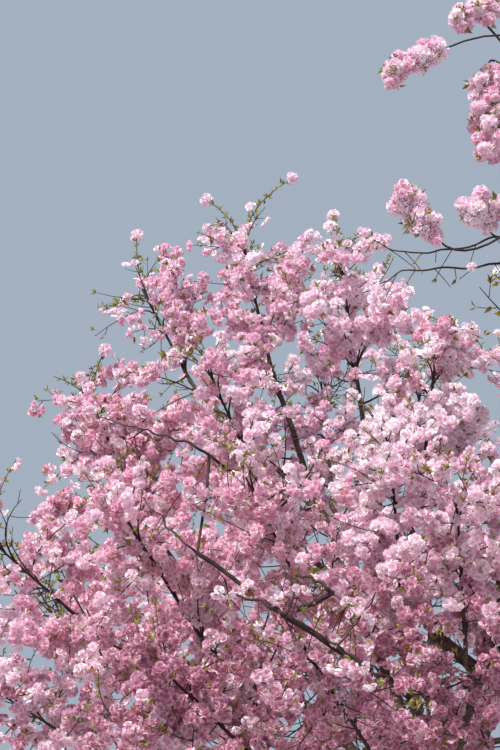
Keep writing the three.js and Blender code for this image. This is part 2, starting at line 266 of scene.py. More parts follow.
def skin(centres, radii, sides, shape=None):
    """A closed tube of rings: its points, its faces, and each point's place on the limb made straight."""
    ways = unit(np.gradient(centres, axis=0))
    ways[0] = UP if shape is not None else ways[0]
    across = FIRST_ACROSS
    angles = np.arange(sides) / sides * 2 * math.pi
    cos, sin = np.cos(angles), np.sin(angles)
    along = np.concatenate([[0], np.cumsum(np.linalg.norm(np.diff(centres, axis=0), axis=1))])
    points, grain = [], []
    for i, (centre, way, radius) in enumerate(zip(centres, ways, radii)):
        across = unit(across - way * (across @ way))
        size = radius * (shape[i] if shape is not None else np.ones(sides))
        round_way = cos[:, None] * across + sin[:, None] * np.cross(way, across)
        points.append(centre + size[:, None] * round_way)
        grain.append(np.stack([radius * cos, radius * sin, np.full(sides, along[i])], 1))
    count = len(centres)
    points = np.concatenate([*points, centres[[0, -1]]])
    grain = np.concatenate([*grain, [[0, 0, along[0]], [0, 0, along[-1]]]])
    ring = np.arange(sides)
    after = (ring + 1) % sides
    faces = []
    for i in range(count - 1):
        low, high = i * sides, (i + 1) * sides
        faces += np.stack([low + ring, low + after, high + after, high + ring], 1).tolist()
    first, last = count * sides, count * sides + 1
    top = (count - 1) * sides
    faces += np.stack([after, ring, np.full(sides, first)], 1).tolist()
    faces += np.stack([top + ring, top + after, np.full(sides, last)], 1).tolist()
    return points, faces, grain


def give(mesh, name, kind, values):
    """Puts a value, or a few, on each point of a mesh."""
    field = mesh.attributes.new(name, kind, "POINT")
    key = "vector" if kind == "FLOAT_VECTOR" else "value"
    field.data.foreach_set(key, np.asarray(values, np.float32).ravel())


def joined(name, skins):
    """One mesh object from several skins, which keeps where each point lies on its straightened limb."""
    starts = np.cumsum([0] + [len(points) for points, _, _ in skins])
    faces = [[v + int(start) for v in face] for start, (_, rows, _) in zip(starts, skins) for face in rows]
    mesh = bpy.data.meshes.new(name)
    mesh.from_pydata(np.concatenate([points for points, _, _ in skins]).tolist(), [], faces)
    give(mesh, "grain", "FLOAT_VECTOR", np.concatenate([grain for _, _, grain in skins]))
    mesh.shade_smooth()
    return link_object(name, mesh)


def new_tree(name, sizes):
    """A geometry tree with a named input for each size, which may be a number or a material."""
    tree = bpy.data.node_groups.new(name, "GeometryNodeTree")
    tree.interface.new_socket("Geometry", in_out="INPUT", socket_type="NodeSocketGeometry")
    for key, kind in sizes.items():
        tree.interface.new_socket(key, in_out="INPUT", socket_type=f"NodeSocket{kind}")
    tree.interface.new_socket("Geometry", in_out="OUTPUT", socket_type="NodeSocketGeometry")
    return tree, add_node(tree, "NodeGroupInput").outputs


def end_tree(tree, shape, material):
    """Ends a geometry tree: what it placed is made real, and gets its material."""
    real = add_node(tree, "GeometryNodeRealizeInstances", {0: shape})
    finished = add_node(tree, "GeometryNodeSetMaterial", {"Geometry": real, "Material": material})
    add_node(tree, "NodeGroupOutput", {0: finished})


def grown(thing, tree, values):
    """The object as its geometry tree makes it: a plain mesh, with no modifier left on it."""
    modifier = thing.modifiers.new(tree.name, "NODES")
    modifier.node_group = tree
    for item in tree.interface.items_tree:
        if item.item_type == "SOCKET" and item.in_out == "INPUT" and item.name in values:
            modifier[item.identifier] = values[item.name]
    depsgraph = bpy.context.evaluated_depsgraph_get()
    mesh = bpy.data.meshes.new_from_object(thing.evaluated_get(depsgraph), depsgraph=depsgraph)
    name = thing.name
    bpy.data.objects.remove(thing)
    mesh.name = name
    return link_object(name, mesh)


# The relief pushes the bark in and out along its own face: level pores close together, and slow
# swellings over a hand's width. Both follow the limb, because they are read on it made straight.
RELIEF_STRETCH = (0.22, 0.22, 1.0)
SWELL_SCALE = 9.0
bark_relief, bark_in = new_tree(
    "bark_relief", {"Pore spacing": "Float", "Relief": "Float", "Swelling": "Float", "Bark": "Material"}
)
grain_place = add_node(
    bark_relief, "GeometryNodeInputNamedAttribute", {"Name": "grain"}, data_type="FLOAT_VECTOR"
)
pore_scale = add_node(
    bark_relief, "ShaderNodeMath", {0: 1.0, 1: bark_in["Pore spacing"]}, operation="DIVIDE"
)
flattened = add_node(
    bark_relief, "ShaderNodeVectorMath", {0: grain_place, 1: RELIEF_STRETCH}, operation="MULTIPLY"
)
pores = add_node(
    bark_relief, "ShaderNodeTexNoise", {"Vector": flattened, "Scale": pore_scale, "Detail": 2.0}
)
swells = add_node(
    bark_relief, "ShaderNodeTexNoise", {"Vector": grain_place, "Scale": SWELL_SCALE, "Detail": 1.0}
)
pore_depth = add_node(bark_relief, "ShaderNodeMath", {0: pores, 1: -0.5}, operation="ADD")
pore_push = add_node(
    bark_relief, "ShaderNodeMath", {0: pore_depth, 1: bark_in["Relief"]}, operation="MULTIPLY"
)
swell_depth = add_node(bark_relief, "ShaderNodeMath", {0: swells, 1: -0.5}, operation="ADD")
both_depths = {0: swell_depth, 1: bark_in["Swelling"], 2: pore_push}
push = add_node(bark_relief, "ShaderNodeMath", both_depths, operation="MULTIPLY_ADD")
outwards = add_node(bark_relief, "GeometryNodeInputNormal")
offset = add_node(bark_relief, "ShaderNodeVectorMath", {0: outwards, "Scale": push}, operation="SCALE")
pushed = add_node(
    bark_relief, "GeometryNodeSetPosition", {"Geometry": bark_in["Geometry"], "Offset": offset}
)
end_tree(bark_relief, pushed, bark_in["Bark"])

# Cherry bark: a thin brown skin with a dull shine, paler and greyer where it is old and cracked,
# with rust-coloured pores 20 to 60 mm long that lie level, about 12 mm one above the next.
PORES_PER_METRE = (12, 12, 80)
BARK_AGE_SCALE = 7.0
cherry_bark = new_material("cherry_bark")
bark_tree = cherry_bark.node_tree
bark_place = add_node(bark_tree, "ShaderNodeAttribute", attribute_name="grain").outputs["Vector"]
pore_rows = add_node(bark_tree, "ShaderNodeMapping", {"Vector": bark_place, "Scale": PORES_PER_METRE})
pore_noise = add_node(bark_tree, "ShaderNodeTexNoise", {"Vector": pore_rows, "Scale": 1.0, "Detail": 2.0})
age_noise = add_node(
    bark_tree, "ShaderNodeTexNoise", {"Vector": bark_place, "Scale": BARK_AGE_SCALE, "Detail": 5.0}
)
bark_tone = add_node(bark_tree, "ShaderNodeValToRGB", {0: age_noise})
for end, position, colour in zip(bark_tone.color_ramp.elements, (0.32, 0.72), ("241515", "5a4439")):
    end.position = position
    end.color = linear(colour)
pore_tone = add_node(bark_tree, "ShaderNodeValToRGB", {0: pore_noise})
for end, position in zip(pore_tone.color_ramp.elements, (0.60, 0.66)):
    end.position = position
bark_colour = add_node(
    bark_tree, "ShaderNodeMix", {0: pore_tone, 6: bark_tone, 7: linear("8a6753")}, data_type="RGBA"
)
bark_bump = add_node(
    bark_tree, "ShaderNodeBump", {"Height": pore_noise, "Distance": 0.003, "Strength": 0.6}
)
finish_material(
    cherry_bark, {"Base Color": bark_colour.outputs[2], "Roughness": 0.68, "Normal": bark_bump}
)

trunk_heights = np.append(np.arange(0, TRUNK_HEIGHT, TRUNK_STEP), TRUNK_HEIGHT)
lobe_angles = np.arange(TRUNK_SIDES) / TRUNK_SIDES * 2 * math.pi
lobe_depths = FLARE["depth"] * np.exp(-trunk_heights / FLARE["height"])
trunk_shape = 1 + lobe_depths[:, None] * np.cos(FLARE["lobes"] * lobe_angles)
trunk_skin = skin(
    trunk_axis(trunk_heights / TRUNK_HEIGHT), trunk_radius(trunk_heights), TRUNK_SIDES, trunk_shape
)
trunk = grown(
    joined("trunk_bark", [trunk_skin]),
    bark_relief,
    {"Pore spacing": 0.035, "Relief": 0.009, "Swelling": 0.016, "Bark": cherry_bark},
)
trunk_points = np.zeros(len(trunk.data.vertices) * 3, np.float32)
trunk.data.vertices.foreach_get("co", trunk_points)
trunk_points[2::3] = np.maximum(trunk_points[2::3], 0)
trunk.data.vertices.foreach_set("co", trunk_points)
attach(trunk, "root")
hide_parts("trunk")


# Boughs: each leaves its parent half along the parent's way and turns upwards before its tip. Its
# foot is as thick as the masses that it carries need. Two stubs of sawn-off limbs are left on them.
BOUGH_TIP = 0.015
BOUGH_BEND = 0.34
BOUGH_STEP = 0.03
BOUGH_TAPER = 0.8
BOUGH_WANDER = 0.022
WANDER_TURNS = (2.3, 4.1, 7.7)
START_WAY = {"straight": 0.62, "parent": 0.5}
END_WAY = {"straight": 0.78, "up": 0.3}
ENTRY = 0.8
# The bough, the share along it, then the stub's heading, rise, length and radius.
STUBS = [
    ("top_middle", 0.29, -100, 8, 0.170, 0.048),
    ("near", 0.36, -150, 32, 0.430, 0.044),
]


def on_cubic(curve, share):
    s = np.asarray(share, float)[..., None]
    a, b, c, d = curve
    return a * (1 - s) ** 3 + 3 * b * (1 - s) ** 2 * s + 3 * c * (1 - s) * s**2 + d * s**3


def cubic_way(curve, share):
    s = np.asarray(share, float)[..., None]
    a, b, c, d = curve
    return unit((b - a) * (1 - s) ** 2 + 2 * (c - b) * (1 - s) * s + (d - c) * s**2)


def on_limb(limb, share):
    """A point on the bough's middle line, which wanders a little from the smooth curve between its ends."""
    s = np.asarray(share, float)[..., None]
    waves = sum(np.sin(math.pi * (turns * s + start)) * side for turns, start, side in limb.waves)
    wander = waves * BOUGH_WANDER * np.sin(math.pi * s)
    return on_cubic(limb.curve, share) + wander + limb.shift * (1 - s) ** 2


limbs = {}
for limb_index, (limb_name, parent, at, heading, reach, height, spread) in enumerate(BOUGHS):
    carrier = limbs.get(parent)
    start = on_cubic(carrier.curve, at) if carrier else trunk_axis(at)
    wave_chance = np.random.default_rng(limb_index)
    parent_way = cubic_way(carrier.curve, at) if carrier else UP
    middle = place_of(heading, reach, height)
    straight = unit(middle - start)
    start_way = unit(START_WAY["straight"] * straight + START_WAY["parent"] * parent_way)
    end_way = unit(END_WAY["straight"] * straight + END_WAY["up"] * UP)
    tip = middle - ENTRY * spread * end_way
    bend = np.linalg.norm(tip - start) * BOUGH_BEND
    limbs[limb_name] = SimpleNamespace(
        name=limb_name,
        index=limb_index,
        middle=middle,
        spread=spread,
        tip=tip,
        end_way=end_way,
        curve=(start, start + bend * start_way, tip - bend * end_way, tip),
        base=BOUGH_UNIT * math.sqrt(load_of(limb_name)),
        shift=on_limb(carrier, at) - start if carrier else np.zeros(3),
        waves=[
            (turns, 2 * wave_chance.random(), unit(wave_chance.normal(size=3))) for turns in WANDER_TURNS
        ],
    )


def limb_radius(limb, share):
    return limb.base + (BOUGH_TIP - limb.base) * np.asarray(share, float) ** BOUGH_TAPER


def limb_length(limb):
    return float(np.linalg.norm(np.diff(on_cubic(limb.curve, np.linspace(0, 1, 24)), axis=0), axis=1).sum())


def stub_parts(bough, at, heading, rise, length, radius):
    """Where a stub leaves its bough, its way, its length and its radius."""
    rise = math.radians(rise)
    return on_limb(limbs[bough], at), place_of(heading, math.cos(rise), math.sin(rise)), length, radius


bough_skins = []
for limb in limbs.values():
    shares = np.linspace(0, 1, max(8, round(limb_length(limb) / BOUGH_STEP)))
    sides = 18 if load_of(limb.name) > 1 else 12
    bough_skins.append(skin(on_limb(limb, shares), limb_radius(limb, shares), sides))
for stub in STUBS:
    root, way, length, radius = stub_parts(*stub)
    shares = np.linspace(0, 1, 12)
    bough_skins.append(skin(root + shares[:, None] * way * length, radius * (1.1 - 0.15 * shares), 18))
boughs = grown(
    joined("bough_bark", bough_skins),
    bark_relief,
    {"Pore spacing": 0.03, "Relief": 0.006, "Swelling": 0.012, "Bark": cherry_bark},
)
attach(boughs, "root")
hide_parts(*[f"{name}_bough" for name in limbs])

# Sawn ends: the old cut across each stub, weathered to a dull tan with a dark heart. CUT holds how far
# each ring of it stands out from the stub's end, and its share of the stub's radius.
CUT = ((-0.010, 0.90), (0.004, 0.90), (0.008, 0.82), (0.009, 0.55), (0.0095, 0.25), (0.010, 0.04))
HEART = (0.008, 0.026)
weathered_wood = new_material("weathered_cherry_wood")
wood_tree = weathered_wood.node_tree
wood_place = add_node(wood_tree, "ShaderNodeAttribute", attribute_name="grain").outputs["Vector"]
on_cut = add_node(wood_tree, "ShaderNodeVectorMath", {0: wood_place, 1: (1, 1, 0)}, operation="MULTIPLY")
from_heart = add_node(wood_tree, "ShaderNodeVectorMath", {0: on_cut}, operation="LENGTH").outputs["Value"]
wood_tone = add_node(wood_tree, "ShaderNodeMapRange", {0: from_heart, 1: HEART[0], 2: HEART[1]})
wood_colour = add_node(
    wood_tree, "ShaderNodeMix", {0: wood_tone, 6: linear("3f2c20"), 7: linear("8f7a5a")}, data_type="RGBA"
)
finish_material(weathered_wood, {"Base Color": wood_colour.outputs[2], "Roughness": 0.8})
cut_skins = []
for stub in STUBS:
    root, way, length, radius = stub_parts(*stub)
    centres = np.array([root + way * length + proud * way for proud, _ in CUT])
    cut_skins.append(skin(centres, np.array([share * radius for _, share in CUT]), 24))
cuts = joined("sawn_ends", cut_skins)
cuts.data.materials.append(weathered_wood)
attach(cuts, "root")


# Twigs: a stem runs on from each bough's tip through its mass, and twigs spread evenly from it to
# the edge of the mass's space, as in the solids. Side twigs then branch from them all, so that
# finer wood fills the same space. A twig ends where its space does, or short of a limb. Lengths and
# radii are in metres here, and the rest are shares or counts.
CLEAR = 0.0003
STEM = {"end": 0.5, "tip": 0.006}
TWIGS = {"shown": 8, "hidden": 7, "east": 0.4, "north": 0.7, "radius": 0.008}
TWIG_TIP = 0.0025
BLOSSOM = {"least": 0.168, "most": 0.21, "pitch": 0.45, "fewest": 2, "end": 0.42}
SWELL_TAPER = 0.1
BARE = {"least": 0.3, "most": 0.46}
SHOOT = {"radius": 0.006, "leaf_every": 0.036}
USUAL_SPREAD = 0.8
SPACE_GAP = 0.008
EDGE_ROOM = 0.07
TREE_SEED = 11
GOLDEN_ANGLE = math.pi * (3 - math.sqrt(5))
LIMB_PIECES = 12
# Shoots that stand above the crown: the mass, then the heading, reach and height of the tip.
SHOOTS = [
    ("top_left", 162, 0.95, 7.89),
    ("top_left", 170, 1.72, 7.68),
    ("high_left", 168, 2.32, 7.45),
    ("high_left", 170, 2.6, 6.7),
    ("top_middle", -162, 0.65, 7.28),
    ("top_middle", -132, 0.54, 7.04),
    ("left", -178, 2.44, 6.18),
    ("left", -177, 2.85, 5.9),
    ("left_edge", -169, 3.1, 5.08),
    ("left_edge", -170, 3.62, 4.54),
    ("top_right", -2, 1.75, 7.4),
    ("top_right", -30, 2.45, 7.05),
    ("right_high", 24, 3.25, 6.65),
    ("top_back", 88, 2.0, 7.05),
    ("high_back_left", 134, 2.6, 6.75),
]
# Plumes that the near mass reaches towards the viewer: the foot and the tip of each, its width, and
# how far its bare twig runs on straight before the foot, as a share of the twig.
NEAR_PLUMES = [
    ((-0.11, -3.4, 6.87), (-0.44, -3.4, 6.7), 0.06, 0.8),
    ((0.06, -3.3, 7.17), (0.01, -3.38, 7.06), 0.05, 0.3),
    ((0.31, -3.2, 7.3), (0.15, -3.28, 7.2), 0.07, 0.3),
    ((0.2, -3.2, 6.86), (0.205, -3.2, 6.25), 0.13, 0.3),
    ((-0.191, -3.4, 5.58), (-0.4, -3.42, 5.83), 0.1, 0.3),
    ((0.145, -3.2, 5.74), (0.06, -3.3, 5.86), 0.13, 0.3),
    ((0.3, -3.2, 5.8), (0.22, -3.25, 5.85), 0.1, 0.3),
]
# The plumes' pale share is set low as painted light: their deep pink stands for the sun shining through
# them.
PLUME = {"root": 0.009, "foot": 0.006, "radius": 0.005, "fullness": 3.6, "before": -3.1, "pale": 0.62}
# Almost bare wood, as the radius at its foot and the places it passes (x, y, height): two long twigs
# below the near plumes, then small boughs that cross the blossom at the left of the crown and low in
# its front. Each starts at the nearest limb, or at the nearest of the wood before it.
BARE_WOOD = [
    (0.009, ((0.211, -3.2, 5.69), (-0.109, -3.3, 5.559), (-0.347, -3.4, 5.488), (-0.58, -3.4, 5.565))),
    (0.009, ((0.218, -3.1, 5.55), (-0.088, -3.2, 5.486), (-0.399, -3.3, 5.422), (-0.544, -3.3, 5.326))),
    (0.012, (
        (-1.56, -1.3, 4.88), (-1.57, -1.82, 4.739), (-1.72, -1.82, 4.83), (-1.86, -1.75, 4.887),
        (-2.0, -1.65, 4.969), (-2.1, -1.55, 5.023), (-2.37, -1.4, 5.146),
    )),
    (0.006, ((-2.13, -1.75, 4.866), (-2.11, -1.95, 4.665))),
    (0.011, (
        (-1.63, -1.9, 4.05), (-1.63, -2.42, 3.933), (-1.78, -2.35, 4.071), (-1.86, -2.28, 4.191),
        (-1.98, -2.2, 4.337),
    )),
    (0.015, (
        (-1.09, -2.35, 3.55), (-1.1, -2.8, 3.455), (-1.14, -2.8, 3.496), (-1.24, -2.72, 3.566),
        (-1.38, -2.62, 3.617), (-1.54, -2.5, 3.667),
    )),
    (0.007, ((-1.44, -2.62, 3.702), (-1.49, -2.66, 3.759))),
    (0.01, ((-1.04, -2.74, 3.585), (-1.06, -2.66, 3.717), (-1.11, -2.62, 3.799))),
    (0.02, (
        (-0.58, -2.45, 3.21), (-0.63, -2.95, 3.134), (-0.72, -2.95, 3.196), (-0.81, -2.95, 3.259),
        (-0.87, -2.92, 3.321),
    )),
    (0.007, ((-0.73, -2.95, 3.344), (-0.66, -2.9, 3.446), (-0.59, -2.85, 3.544), (-0.55, -2.8, 3.643))),
    (0.019, (
        (-0.79, -2.3, 3.7), (-0.83, -2.78, 3.606), (-0.88, -2.76, 3.664), (-0.95, -2.72, 3.709),
        (-1.03, -2.68, 3.73),
    )),
]
BARE_WOOD_POINTS = 30
SIDE_TWIG = {"every": 0.085, "bare": 0.25, "radius": 0.0035}
BOUGHLET = {
    "every": 0.15, "first": 0.2, "least": 0.4, "most": 0.8, "bare": 0.25, "width": 0.15,
    "radius": 0.009, "room": 0.05,
}
STEM_TWIG = {"per_metre": 18, "least": 0.22, "most": 0.46, "radius": 0.005}
KNOT_EVERY = 0.068
LEAST_ROOM = 0.03
CUTS_BACK = (1, 0.7, 0.45)
SPUR_FLOWERS = {"least": 4, "more": 2.6}
TIP_FLOWERS = {"least": 5, "more": 3}
LEAFY = 0.36
LEAF_SHOOT = 0.055
LARGE_LEAF = 0.95
SMALL_LEAF = 0.8
WHIP = {"per_metre": 13, "least": 0.3, "most": 0.55, "past": -0.12, "radius": 0.0042}
DEAD_SHOOT = {"count": 9, "back": 0.03, "least": 0.18, "more": 0.22, "radius": 0.0048}
BARE_WOOD_TWIG = {"least": 0.06, "more": 0.16, "radius": 0.0032}
CROWN_MIDDLE = (0.0, 0.0, 4.4)
CROWN_FOOT = 2.35
BARE_HEART = {"lowest": 2.6, "highest": 4.4, "within": 0.25, "fade": 1.2}
# How full each mass is, and how its blossom is dealt out in three tones, drawn at random with odds that
# paint light and shade: fullness, what is added to its pale share as painted light or shade for the mass,
# how that share rises with height as painted light from above (or falls, as painted shade at the top),
# and how much of it is nearly white, which is in part a painted highlight.
MASS_FULLNESS_AND_LIGHT = {
    "top_middle": (1, 0.15, 0.25, 0.45), "left": (1, 0.3, 0.25, 0.4), "near": (1, 0, 0.25, 0.4),
    "top_right": (1.1, 0, 0.25, 0.3), "top_back": (1.1, 0, 0.25, 0.15),
    "high_left": (0.6, 0, 0.25, 0.15), "upper_left": (0.8, 0.2, 0.25, 0.15),
    "upper_middle": (0.88, 0.15, 0.25, 0.4), "high_back_left": (1.1, 0, 0.25, 0.15),
    "crown_right": (1, 0.3, -1.2, 0.95), "front_middle": (0.92, 0.15, 0.25, 0.5),
    "front_left": (0.92, 0, 0.25, 0.15), "left_edge": (0.8, 0.2, 0.25, 0.35),
    "left_middle": (0.92, 0.15, 0.25, 0.3), "left_low": (0.95, 0.4, 0.25, 0.5),
    "left_back": (1.12, 0, 0.25, 0.15), "front_left_low": (0.9, 0, 0.25, 0.15),
    "front_low": (0.85, -0.2, 0.4, 0.15), "front": (0.9, 0.2, 0.7, 0.7),
    "near_right": (1.1, 0.3, 0.25, 0.9), "right_high": (1.15, 0, 0.25, 0.4),
    "right": (1.18, 0, 0.25, 0.4), "right_low": (1.15, 0, 0.25, 0.15),
    "right_back_low": (1.2, 0, 0.25, 0.15), "back_right": (1.18, 0, 0.25, 0.15),
    "back_low": (1.18, 0, 0.25, 0.15), "back_left": (1.15, 0, 0.25, 0.15),
}
USUAL_FULLNESS_AND_LIGHT = (1, 0, 0.25, 0.15)
OWN_SPACE, OPEN_AIR, BETWEEN_MASSES, ANYWHERE = range(4)

# Twigs that close the crown between two masses, as (x, y, height) of their tips.
FILLS = [
    (-1.83, 0.1, 6.5), (-1.58, -0.2, 6.42), (-1.42, 0.1, 6.5), (-1.3, -0.3, 6.35), (-2.01, 0.3, 7.2),
    (-1.94, 0.1, 6.95), (-0.38, 0.0, 6.3), (-2.14, -0.3, 5.26), (-2.16, -0.5, 5.0), (-2.04, 0.0, 5.2),
    (-2.78, -0.4, 4.8), (-2.78, -1.3, 3.6), (-2.68, -1.0, 3.58), (-2.32, -1.4, 3.38),
    (-2.16, -1.8, 3.38), (-1.98, -2.0, 3.04), (-2.02, -2.2, 2.88), (-2.18, -1.8, 2.9),
    (-1.87, -1.0, 4.7), (-1.57, -1.5, 4.26), (0.37, -1.0, 5.26), (0.43, -1.0, 5.0), (-0.62, -1.0, 5.0),
    (-0.28, -1.2, 6.08), (-0.1, -1.2, 6.0), (0.07, -1.3, 5.86), (0.24, -1.3, 5.76), (-0.18, -1.0, 6.14),
    (-0.39, -1.0, 5.32), (-0.62, -1.3, 4.62), (-0.62, -1.6, 4.22), (-0.54, -1.8, 3.88),
    (-0.92, -1.6, 3.8), (-2.61, -0.6, 4.48), (-2.85, -0.4, 4.74), (-0.97, 0.0, 6.92),
    (-1.34, -0.3, 5.96), (-2.19, -0.4, 5.62), (-1.81, -0.5, 5.53), (-2.33, -0.3, 5.63),
    (-0.84, -0.8, 6.18), (-0.89, -0.8, 5.98), (-1.91, -0.5, 5.48), (0.6, -1.9, 5.75), (0.95, -1.6, 5.8),
    (0.55, -2.3, 5.95), (1.05, -2.2, 5.95), (0.75, -2.6, 5.7), (1.2, -1.3, 5.7), (0.5, -1.5, 6.1),
    (1.3, -2.0, 5.6), (-2.24, -1.0, 4.12), (-0.88, -0.4, 6.76), (-2.79, -0.6, 4.56),
    (-2.77, -0.2, 5.52), (-0.94, -1.5, 3.98), (-2.4, 0.0, 6.0), (-1.38, -0.8, 5.48), (-0.31, -1.5, 3.6),
    (-0.11, -1.2, 3.78), (-0.45, -1.5, 3.5), (0.15, -1.2, 3.9), (-0.39, -1.8, 3.07), (0.03, -1.5, 3.02),
    (-0.18, -1.6, 2.94), (-0.72, -1.2, 3.04), (-0.44, -1.3, 3.84), (0.02, -1.1, 3.12),
    (-1.7, 0.2, 6.86), (-0.87, 0.0, 6.44), (-1.7, 0.0, 6.42), (-1.72, -0.8, 4.94), (-2.92, -1.0, 3.68),
    (-0.06, -1.4, 3.9), (0.09, -0.6, 3.36), (0.13, -1.9, 3.93), (0.25, -1.7, 3.85), (0.04, -1.8, 4.03),
    (-1.46, -1.2, 4.12), (-1.29, -1.3, 3.72), (-0.93, -1.3, 3.73), (-0.63, -1.3, 3.83),
    (-0.36, -1.4, 3.71), (-1.51, -1.3, 3.3), (-1.38, -1.3, 3.12),
]
FILL = {"width": 0.15, "long": 0.5, "radius": 0.007, "fullness": 1.3}

# Openings that light shows through, as (x, height) on the upright plane through the trunk, seen
# from the eye, and the radius of each. The last six keep the two stubs in view.
OPENINGS = [
    (-1.18, 7.52, 0.11), (-1.5, 7.4, 0.07), (-1.25, 7.36, 0.09), (-1.1, 7.27, 0.07), (-1.28, 7.2, 0.06),
    (-1.27, 7.1, 0.06), (-1.72, 7.1, 0.06), (-2.1, 7.0, 0.07), (-2.18, 6.88, 0.09), (-2.36, 6.84, 0.1),
    (-0.64, 7.18, 0.04), (-0.61, 6.87, 0.09), (-0.46, 6.9, 0.06), (-1.2, 6.88, 0.08),
    (-1.58, 6.74, 0.06), (-1.73, 6.57, 0.06), (-1.27, 6.55, 0.08), (0.17, 6.86, 0.12),
    (0.3, 6.78, 0.13), (0.57, 6.66, 0.27), (0.63, 6.26, 0.1), (-0.15, 6.16, 0.07), (0.09, 6.06, 0.08),
    (-0.07, 5.98, 0.05), (0.16, 5.9, 0.08), (0.38, 5.93, 0.07), (0.52, 5.99, 0.05), (0.04, 5.79, 0.06),
    (-2.58, 6.69, 0.08), (-2.44, 6.64, 0.11), (-2.19, 6.62, 0.1), (-2.07, 6.43, 0.1),
    (-2.51, 6.35, 0.14), (-2.2, 6.32, 0.06), (-2.31, 6.2, 0.11), (-2.06, 6.18, 0.1), (-0.9, 6.44, 0.05),
    (-0.74, 6.4, 0.08), (-0.76, 6.27, 0.07), (-1.7, 6.18, 0.06), (-1.76, 6.1, 0.08),
    (-1.09, 6.07, 0.06), (-0.54, 6.05, 0.07), (-0.35, 6.04, 0.08), (-1.07, 5.96, 0.07),
    (-2.84, 5.95, 0.08), (-1.93, 5.89, 0.12), (-1.8, 5.88, 0.09), (-0.78, 5.87, 0.08),
    (-0.59, 5.88, 0.1), (-2.68, 5.86, 0.05), (-0.39, 5.85, 0.1), (-2.96, 5.83, 0.11),
    (-2.04, 5.83, 0.1), (-1.19, 5.82, 0.06), (-0.9, 5.76, 0.06), (-0.61, 5.76, 0.08),
    (-0.3, 5.76, 0.06), (-1.02, 5.74, 0.06), (-1.99, 5.71, 0.06), (-0.36, 5.7, 0.08),
    (-1.51, 5.66, 0.09), (-2.47, 5.65, 0.05), (-0.42, 5.64, 0.07), (-2.84, 5.4, 0.05),
    (-0.49, 5.28, 0.05), (-3.19, 5.25, 0.06), (-2.82, 5.02, 0.05), (-3.13, 5.02, 0.14),
    (-3.08, 4.87, 0.1), (-3.14, 4.7, 0.14), (-3.17, 4.53, 0.11), (-2.75, 4.34, 0.07),
    (-2.82, 4.29, 0.09), (-2.9, 4.19, 0.06), (-0.79, 4.4, 0.04), (-1.09, 4.24, 0.04),
    (-0.81, 4.23, 0.05), (-1.19, 4.03, 0.05), (-1.07, 3.94, 0.04), (-1.55, 3.79, 0.05),
    (-0.84, 3.69, 0.04), (-2.82, 4.11, 0.09), (-2.74, 4.07, 0.06), (-0.07, 3.38, 0.12),
    (-0.18, 3.38, 0.07), (0.11, 3.85, 0.07), (0.19, 3.79, 0.07), (0.27, 3.73, 0.07), (0.34, 3.67, 0.07),
]


def stream(seed):
    """The solids' own stream of numbers from 0 to 1, so that their twigs come out the same here."""
    mask = 0xFFFFFFFF
    state = seed & mask

    def draw():
        nonlocal state
        state = (state + 0x6D2B79F5) & mask
        mixed = ((state ^ (state >> 15)) * (state | 1)) & mask
        mixed ^= (mixed + (mixed ^ (mixed >> 7)) * (mixed | 61)) & mask
        return (mixed ^ (mixed >> 14)) / (mask + 1)

    return draw


piece_shares = np.linspace(0, 1, LIMB_PIECES + 1)
piece_points = [on_limb(limb, piece_shares) for limb in limbs.values()]
piece_starts = np.concatenate([points[:-1] for points in piece_points])
piece_runs = np.concatenate([np.diff(points, axis=0) for points in piece_points])
piece_radii = np.concatenate([limb_radius(limb, piece_shares[:-1]) for limb in limbs.values()])
piece_squares = (piece_runs**2).sum(1)
mass_middles = np.array([limb.middle for limb in limbs.values()])
mass_spreads = np.array([limb.spread for limb in limbs.values()])
mass_ways = unit(mass_middles - CROWN_MIDDLE)


def limb_room(points):
    """The distance from each point to the nearest limb's bark."""
    to_point = points[:, None] - piece_starts
    share = np.clip((to_point * piece_runs).sum(2) / piece_squares, 0, 1)
    gap = np.linalg.norm(to_point - share[..., None] * piece_runs, axis=2)
    return (gap - piece_radii).min(1)


def crown_room(points):
    """The room before a point between the masses comes further out than the mass nearest to it."""
    to_point = points[:, None] - mass_middles
    nearest = (np.linalg.norm(to_point, axis=2) - mass_spreads).argmin(1)
    outward = (to_point[np.arange(len(points)), nearest] * mass_ways[nearest]).sum(1)
    return np.minimum(0.3 * mass_spreads[nearest] - outward, points[:, 2] - CROWN_FOOT)


def room_at(points, limb, space=OWN_SPACE):
    """The room round each point before it leaves the space it may grow in or meets a limb."""
    points = np.atleast_2d(points)
    if space == ANYWHERE:
        return limb_room(points) - SPACE_GAP
    if space == BETWEEN_MASSES:
        return np.minimum(crown_room(points), limb_room(points)) - SPACE_GAP
    to_own = np.linalg.norm(points - limb.middle, axis=1)
    room = limb.spread - to_own if space == OWN_SPACE else np.full(len(points), np.inf)
    own = to_own**2 - limb.spread**2
    for other in limbs.values():
        if other is limb:
            continue
        distance = np.linalg.norm(points - other.middle, axis=1)
        theirs = distance**2 - other.spread**2
        to_plane = (theirs - own) / (2 * np.linalg.norm(limb.middle - other.middle))
        room = np.minimum(room, np.maximum(to_plane, distance - other.spread))
    return np.minimum(room, limb_room(points)) - SPACE_GAP


def in_opening(points, chance):
    """Whether each point lies in an opening as seen from the eye. The rims are left ragged."""
    eye = np.array(EYE)
    shift = -EYE[1] / (points[:, 1] - EYE[1])
    seen = eye + (points - eye) * shift[:, None]
    hidden = np.zeros(len(points), bool)
    for x, height, radius in OPENINGS:
        ragged = radius * (0.85 + 0.3 * chance.random(len(points)))
        hidden |= np.hypot(seen[:, 0] - x, seen[:, 2] - height) < ragged
    return hidden


def on_bend(curve, share):
    s = np.asarray(share, float)[..., None]
    a, b, c = curve
    return a * (1 - s) ** 2 + 2 * b * (1 - s) * s + c * s**2


def bend_way(curve, share):
    s = np.asarray(share, float)[..., None]
    a, b, c = curve
    return unit((b - a) * (1 - s) + (c - b) * s + 1e-9)


